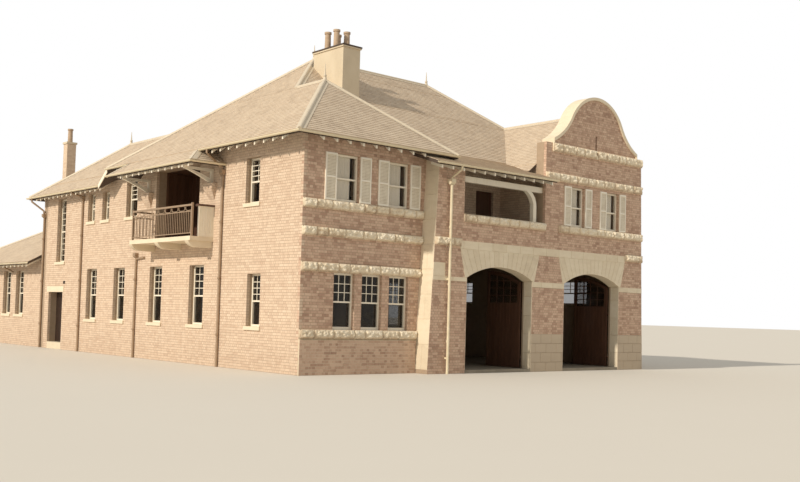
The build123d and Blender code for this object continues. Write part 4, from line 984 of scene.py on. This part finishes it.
shutterSettings = {"margin": 0.05, "pitch": 0.042, "low": 0.075, "mid": 0.025, "top": 0.06, "drop": 0.015,
                   "lift": 0.012, "gap": 0.001, "edge": 0.004, "side": 0.003, "footRail": 0.02,
                   "section": ((0.012, 0.004), (0.001, 0.019), (0.004, 0.022), (0.0139, 0.001))}
louvreFaces = [(0, 1, 2, 3), (7, 6, 5, 4), (0, 4, 5, 1), (1, 5, 6, 2), (2, 6, 7, 3), (3, 7, 4, 0)]
louvreBuild = Build()
s = shutterSettings
for low, high in islandsOf("shutters"):
    axes = windowAxes(low, high, front)
    half = axes["half"] - s["margin"]
    middle = low.z - s["drop"] + (high.z - low.z + s["drop"]) / 2
    for z0, z1 in ((low.z + s["low"] - s["drop"], middle - s["mid"]), (middle + s["mid"], high.z - s["top"])):
        count = int((z1 - z0) / s["pitch"])
        for i in range(count):
            z = z0 + (z1 - z0) * (i + 0.5) / count
            profile = [windowPoint(axes, u, axes["face"] - depth, z - drop + s["lift"])
                       for u in (-half + s["gap"], half - s["gap"]) for depth, drop in s["section"]]
            # Painted shade: the slats are toned darker than the stiles and rails, for the shade between them
            louvreBuild.put(profile, louvreFaces, 0.5 * (chance(i, 3) - 0.5) - 0.9)
    side, foot, top = axes["half"] - s["side"], low.z + s["edge"], high.z - s["edge"]
    for u0, u1, z0, z1 in ((-side, -half, foot, top), (half, side, foot, top),
                           (-half, half, foot, low.z + s["low"] - s["footRail"]),
                           (-half, half, high.z - s["top"], top),
                           (-half, half, middle - s["mid"], middle + s["mid"])):
        # Painted light: the stiles and rails are toned lighter than the slats
        putBar(louvreBuild, axes, u0, u1, z0, z1, -s["edge"], 0.0, 0.9)
makePiece("shutter_louvres", louvreBuild, creamTimber)


# Swags under the balcony's top rail, pipe collars and door panels

swagSettings = {"x": -0.78, "y0": 5.05, "y1": 9.24, "top": 5.185, "low": 5.052, "count": 9, "share": 0.43,
                "tube": 0.010, "returns": (-0.56, -0.2), "returnHalf": 0.155}


def putSwag(build, centre, along, half):
    s = swagSettings
    depth = s["top"] - s["low"]
    path = [(-half, 0.0), (-half, -0.4 * depth)]
    path += [(-half * math.cos(turn) ** 0.6, -0.4 * depth - 0.6 * depth * math.sin(turn) ** 0.8)
             for turn in (0.3, 0.6, 0.9, 1.2)]
    path += [(0.0, -depth)]
    path += [(-u, z) for u, z in reversed(path[:-1])]
    spots = [centre + along * u + Vector((0, 0, s["top"] + z)) for u, z in path]
    for a, b in zip(spots, spots[1:]):
        # Painted light: the swags are toned lighter than the rest of the railing, to read as sunlit against
        # the dark recess
        putTube(build, a, b, s["tube"], 8, 0.9)


swagBuild = Build()
s = swagSettings
pitch = (s["y1"] - s["y0"]) / s["count"]
for i in range(s["count"]):
    putSwag(swagBuild, at(s["x"], s["y0"] + pitch * (i + 0.5), 0), Vector((0, 1, 0)), pitch * s["share"])
for x in s["returns"]:
    putSwag(swagBuild, at(x, s["y1"], 0), Vector((1, 0, 0)), s["returnHalf"])
makePiece("railing_swags", swagBuild, paintedIron)

collarSettings = {"first": 1.0, "pitch": 1.83, "clear": 0.6, "tall": 0.07, "radius": 0.054, "sides": 14}
c = collarSettings
for pipeName, pieceName, material, slot in (("downpipes", "pipe_collars", paintedIron, "painted_iron"),
                                            ("bay_downpipe", "bay_pipe_collars", creamIron, "cream_iron")):
    collarBuild = Build()
    for low, high in islandsOf(pipeName):
        x, y = (low.x + high.x) / 2, (low.y + high.y) / 2
        z = c["first"]
        while z < high.z - c["clear"]:
            putTube(collarBuild, (x, y, z), (x, y, z + c["tall"]), c["radius"], c["sides"])
            z += c["pitch"]
    makePiece(pieceName, collarBuild, material)

doorSettings = {"face": 0.4, "margin": 0.11, "mould": 0.03, "mouldProud": 0.016, "field": 0.07,
                "fieldProud": 0.009, "bevel": 0.004, "lowPanel": (0.16, 0.82), "highPanel": 0.95,
                "topRail": 0.12}


def panelledDoor(name):
    d = doorSettings
    m, f = d["mould"], d["field"]
    low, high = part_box(name)
    build = Build()
    x = cornerX + d["face"]
    y0, y1 = low.y + d["margin"], high.y - d["margin"]
    for z0, z1 in ((low.z + d["lowPanel"][0], low.z + d["lowPanel"][1]),
                   (low.z + d["highPanel"], high.z - d["topRail"])):
        for a, b, bottom, top in ((y0, y1, z0, z0 + m), (y0, y1, z1 - m, z1),
                                  (y0, y0 + m, z0 + m, z1 - m), (y1 - m, y1, z0 + m, z1 - m)):
            putBox(build, (x - d["mouldProud"], a, bottom), (x, b, top), 0.1, d["bevel"])
        putBox(build, (x - d["fieldProud"], y0 + f, z0 + f), (x, y1 - f, z1 - f), -0.15, d["bevel"])
    makePiece(name + "_panels", build, doorTimber, name)


for name in doorLeaves:
    panelledDoor(name)


# Engine leaves: cover strips on the boards, ledges behind and bars across the glazed head

leafSettings = {"pinY": -0.14, "glassLow": 2.38, "radius": 3.187, "archZ": 0.203, "half": 1.6,
                "start": 0.135, "end": 1.464, "bar": 0.024, "uprightDeep": 0.022, "levelDeep": 0.02,
                "levels": (2.64, 2.90, 3.16),
                "strip": 0.022, "strips": 10, "first": 0.03, "pitch": 0.148, "stripProud": 0.008, "low": 0.12,
                "ledges": (0.16, 1.22, 2.2), "ledgeProud": 0.025, "ledgeEnds": (0.09, 1.5), "ledgeTall": 0.13}


def archTop(u):
    s = leafSettings
    return s["archZ"] + math.sqrt(s["radius"] ** 2 - (u - s["half"]) ** 2)


def dressLeaf(name):
    s = leafSettings
    faces = {}
    for plane in planesOf(name):
        if abs(plane["normal"].x) > 0.99 and plane["area"] > 1.0:
            side = round(plane["normal"].x)
            faces[side] = plane["offset"] * side
    sign = 1 if name.endswith("left_leaf") else -1
    outer, inner = faces[sign], faces[-sign]
    middle = (outer + inner) / 2
    y0 = cornerY + s["pinY"]
    half = s["bar"] / 2
    build = Build()
    for k in range(1, 4):
        u = s["start"] + (s["end"] - s["start"]) * k / 4
        putBox(build, (middle - s["uprightDeep"], y0 + u - half, s["glassLow"]),
               (middle + s["uprightDeep"], y0 + u + half, archTop(u)), 0.2)
    for z in s["levels"]:
        reach = math.sqrt(max(s["radius"] ** 2 - (z - s["archZ"]) ** 2, 0.0))
        start = max(s["start"], s["half"] - reach)
        if start < s["end"]:
            putBox(build, (middle - s["levelDeep"], y0 + start, z - half),
                   (middle + s["levelDeep"], y0 + s["end"], z + half), 0.2)
    a, b = sorted((outer, outer + sign * s["stripProud"]))
    for k in range(1, s["strips"] + 1):
        u = s["first"] + k * s["pitch"]
        putBox(build, (a, y0 + u - s["strip"] / 2, s["low"]),
               (b, y0 + u + s["strip"] / 2, s["glassLow"] - 0.03), 0.1 * (k % 2), 0.002)
    a, b = sorted((inner, inner - sign * s["ledgeProud"]))
    for z in s["ledges"]:
        putBox(build, (a, y0 + s["ledgeEnds"][0], z), (b, y0 + s["ledgeEnds"][1], z + s["ledgeTall"]),
               -0.1, 0.004)
    makePiece(name + "_boards", build, darkTimber, name)


for arch in ("left_arch", "right_arch"):
    for hand in ("left_leaf", "right_leaf"):
        dressLeaf(arch + "_" + hand)


# Verge board, swan necks and vent, placed from the street corner

vergeSettings = {"x": -0.665, "thick": 0.024,
                 "outline": ((11.83, 7.06), (12.56, 6.50), (12.56, 6.33), (11.83, 6.89))}
vergeBuild = Build()
outline = [at(vergeSettings["x"], y, z) for y, z in vergeSettings["outline"]]
putPrism(vergeBuild, outline, Vector((vergeSettings["thick"], 0, 0)), 0.2)
makePiece("verge_board", vergeBuild, creamTimber)

neckSettings = {"radius": 0.038, "sides": 12}
streetNecks = [[(-0.70, 4.40, 6.97), (-0.70, 4.40, 6.86), (-0.10, 4.446, 6.46), (-0.075, 4.446, 6.34)],
               [(-0.55, 15.30, 6.40), (-0.55, 15.30, 6.37), (-0.075, 15.30, 6.27)],
               [(-0.55, 19.50, 6.40), (-0.55, 19.50, 6.30), (-0.10, 19.25, 5.92), (-0.075, 19.25, 5.76)],
               [(-0.55, 22.60, 3.60), (-0.55, 22.60, 3.52), (-0.075, 22.60, 3.30)],
               [(-0.05, 10.38, 3.62), (-0.05, 9.75, 3.66)]]
bayNeck = [(5.30, -1.20, 6.62), (5.30, -1.18, 6.52), (5.30, -0.75, 6.30), (5.30, -0.74, 6.20)]
for pieceName, paths, material, slot in (("pipe_swan_necks", streetNecks, paintedIron, "painted_iron"),
                                         ("bay_pipe_neck", [bayNeck], creamIron, "cream_iron")):
    neckBuild = Build()
    for path in paths:
        for a, b in zip(path, path[1:]):
            putTube(neckBuild, at(*a), at(*b), neckSettings["radius"], neckSettings["sides"])
    makePiece(pieceName, neckBuild, material)

ventSettings = {"ends": (16.86, 17.06), "rails": ((2.74, 2.75), (2.85, 2.86)), "railProud": 0.014,
                "barProud": 0.012, "bars": 7, "pitch": 0.0315, "bar": 0.011, "levels": (2.74, 2.86)}
v = ventSettings
ventBuild = Build()
for z0, z1 in v["rails"]:
    putBox(ventBuild, at(-v["railProud"], v["ends"][0], z0), at(0, v["ends"][1], z1))
for i in range(v["bars"]):
    y = v["ends"][0] + i * v["pitch"]
    putBox(ventBuild, at(-v["barProud"], y, v["levels"][0]), at(0, y + v["bar"], v["levels"][1]))
makePiece("wall_vent", ventBuild, wroughtIron)


# The balcony's end panel, with boards and a cap, and the course on the main stack

panelSettings = {"spaces": 6, "start": 0.045, "less": 0.06, "half": 0.012, "boardFaces": (0.03, 0.042),
                 "boardFoot": 0.01, "boardTop": 0.065, "railStart": 0.03, "railFaces": (0.028, 0.044),
                 "railFoot": (0.02, 0.12), "capOver": 0.02, "capLow": 0.055, "capTop": 0.012}
p = panelSettings
low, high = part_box("balcony_end_panel")
boardBuild = Build()
for i in range(p["spaces"] + 1):
    x = low.x + p["start"] + (high.x - low.x - p["less"]) * i / p["spaces"]
    putBox(boardBuild, (x - p["half"], low.y + p["boardFaces"][0], low.z + p["boardFoot"]),
           (x + p["half"], low.y + p["boardFaces"][1], high.z - p["boardTop"]), 0.1, 0.002)
putBox(boardBuild, (low.x + p["railStart"], low.y + p["railFaces"][0], low.z + p["railFoot"][0]),
       (high.x, low.y + p["railFaces"][1], low.z + p["railFoot"][1]), -0.1, 0.003)
makePiece("end_panel_boards", boardBuild, creamTimber)

capBuild = Build()
putBox(capBuild, (low.x - p["capOver"], low.y - p["capOver"], high.z - p["capLow"]),
       (high.x, high.y + p["capOver"], high.z + p["capTop"]), 0.2, 0.006)
makePiece("end_panel_cap", capBuild, darkTimber)

stackSettings = {"over": 0.012, "low": 0.045, "top": 0.014}
over = stackSettings["over"]
stackLow, stackHigh = max(islandsOf("chimneys"), key=lambda box: box[1].z)
courseBuild = Build()
putBox(courseBuild, (stackLow.x - over, stackLow.y - over, stackHigh.z - stackSettings["low"]),
       (stackHigh.x + over, stackHigh.y + over, stackHigh.z + stackSettings["top"]), -0.5, 0.006)
makePiece("stack_cap_course", courseBuild, roofBed)
print("doors and small parts made")


# Floor, backdrop, light and camera

floorSettings = {"reach": 400.0, "drop": 0.003}
floorMaterial = mottled(
    "plain floor", roughness=0.95, scale=0.4, gain=0.2, colours=[(0.0, "#D6D0C5"), (1.0, "#DFDACF")])
floorMesh = bpy.data.meshes.new("floor")
reach = floorSettings["reach"]
floorCorners = levelCorners((-reach, -reach), (reach, reach), -floorSettings["drop"])
floorMesh.from_pydata(floorCorners, [], [(0, 1, 2, 3)])
floorMesh.materials.append(floorMaterial)
floor = addObject("floor", floorMesh)

world = bpy.data.worlds.new("studio")
bpy.context.scene.world = world
world.use_nodes = True
worldTree = world.node_tree
worldTree.nodes.clear()
rays = addNode(worldTree, "LightPath")
soft = addNode(worldTree, "Background", {"Color": linear("#F4F2EE"), "Strength": 0.62})
white = addNode(worldTree, "Background", {"Color": linear("#FFFFFF"), "Strength": 1.0})
mixed = addNode(worldTree, "MixShader", {0: rays.outputs["Is Camera Ray"], 1: soft.outputs[0],
                                                   2: white.outputs[0]})
addNode(worldTree, "OutputWorld", {"Surface": mixed.outputs[0]})

lampSettings = {"direction": (-0.87, -0.03, 0.50), "strength": 3.0, "angle": 1.4, "colour": "#FFF5E6"}
sunData = bpy.data.lights.new("sun", "SUN")
sunData.energy = lampSettings["strength"]
sunData.angle = math.radians(lampSettings["angle"])
sunData.color = linear(lampSettings["colour"])[:3]
sun = addObject("sun", sunData)
sun.rotation_euler = Vector(lampSettings["direction"]).to_track_quat("Z", "Y").to_euler()

viewSettings = {"place": (-17.06, -24.09, 1.85), "yaw": 49.065, "pitch": 2.403, "roll": 1.618, "lens": 45.44,
                "shift": 0.039, "sensor": 36.0, "far": 2000.0}
yaw, pitch, roll = (math.radians(viewSettings[k]) for k in ("yaw", "pitch", "roll"))
forward = Vector((math.cos(yaw) * math.cos(pitch), math.sin(yaw) * math.cos(pitch), math.sin(pitch)))
level = Vector((math.sin(yaw), -math.cos(yaw), 0))
upward = level.cross(forward)
side = level * math.cos(roll) + upward * math.sin(roll)
top = upward * math.cos(roll) - level * math.sin(roll)
cameraData = bpy.data.cameras.new("camera")
cameraData.sensor_width = viewSettings["sensor"]
cameraData.lens = viewSettings["lens"]
cameraData.shift_y = viewSettings["shift"]
cameraData.clip_end = viewSettings["far"]
camera = addObject("camera", cameraData)
camera.matrix_world = Matrix.Translation(at(*viewSettings["place"])) @ \
    Matrix((side, top, -forward)).transposed().to_4x4()
bpy.context.scene.camera = camera
bpy.context.scene.view_settings.view_transform = "Standard"
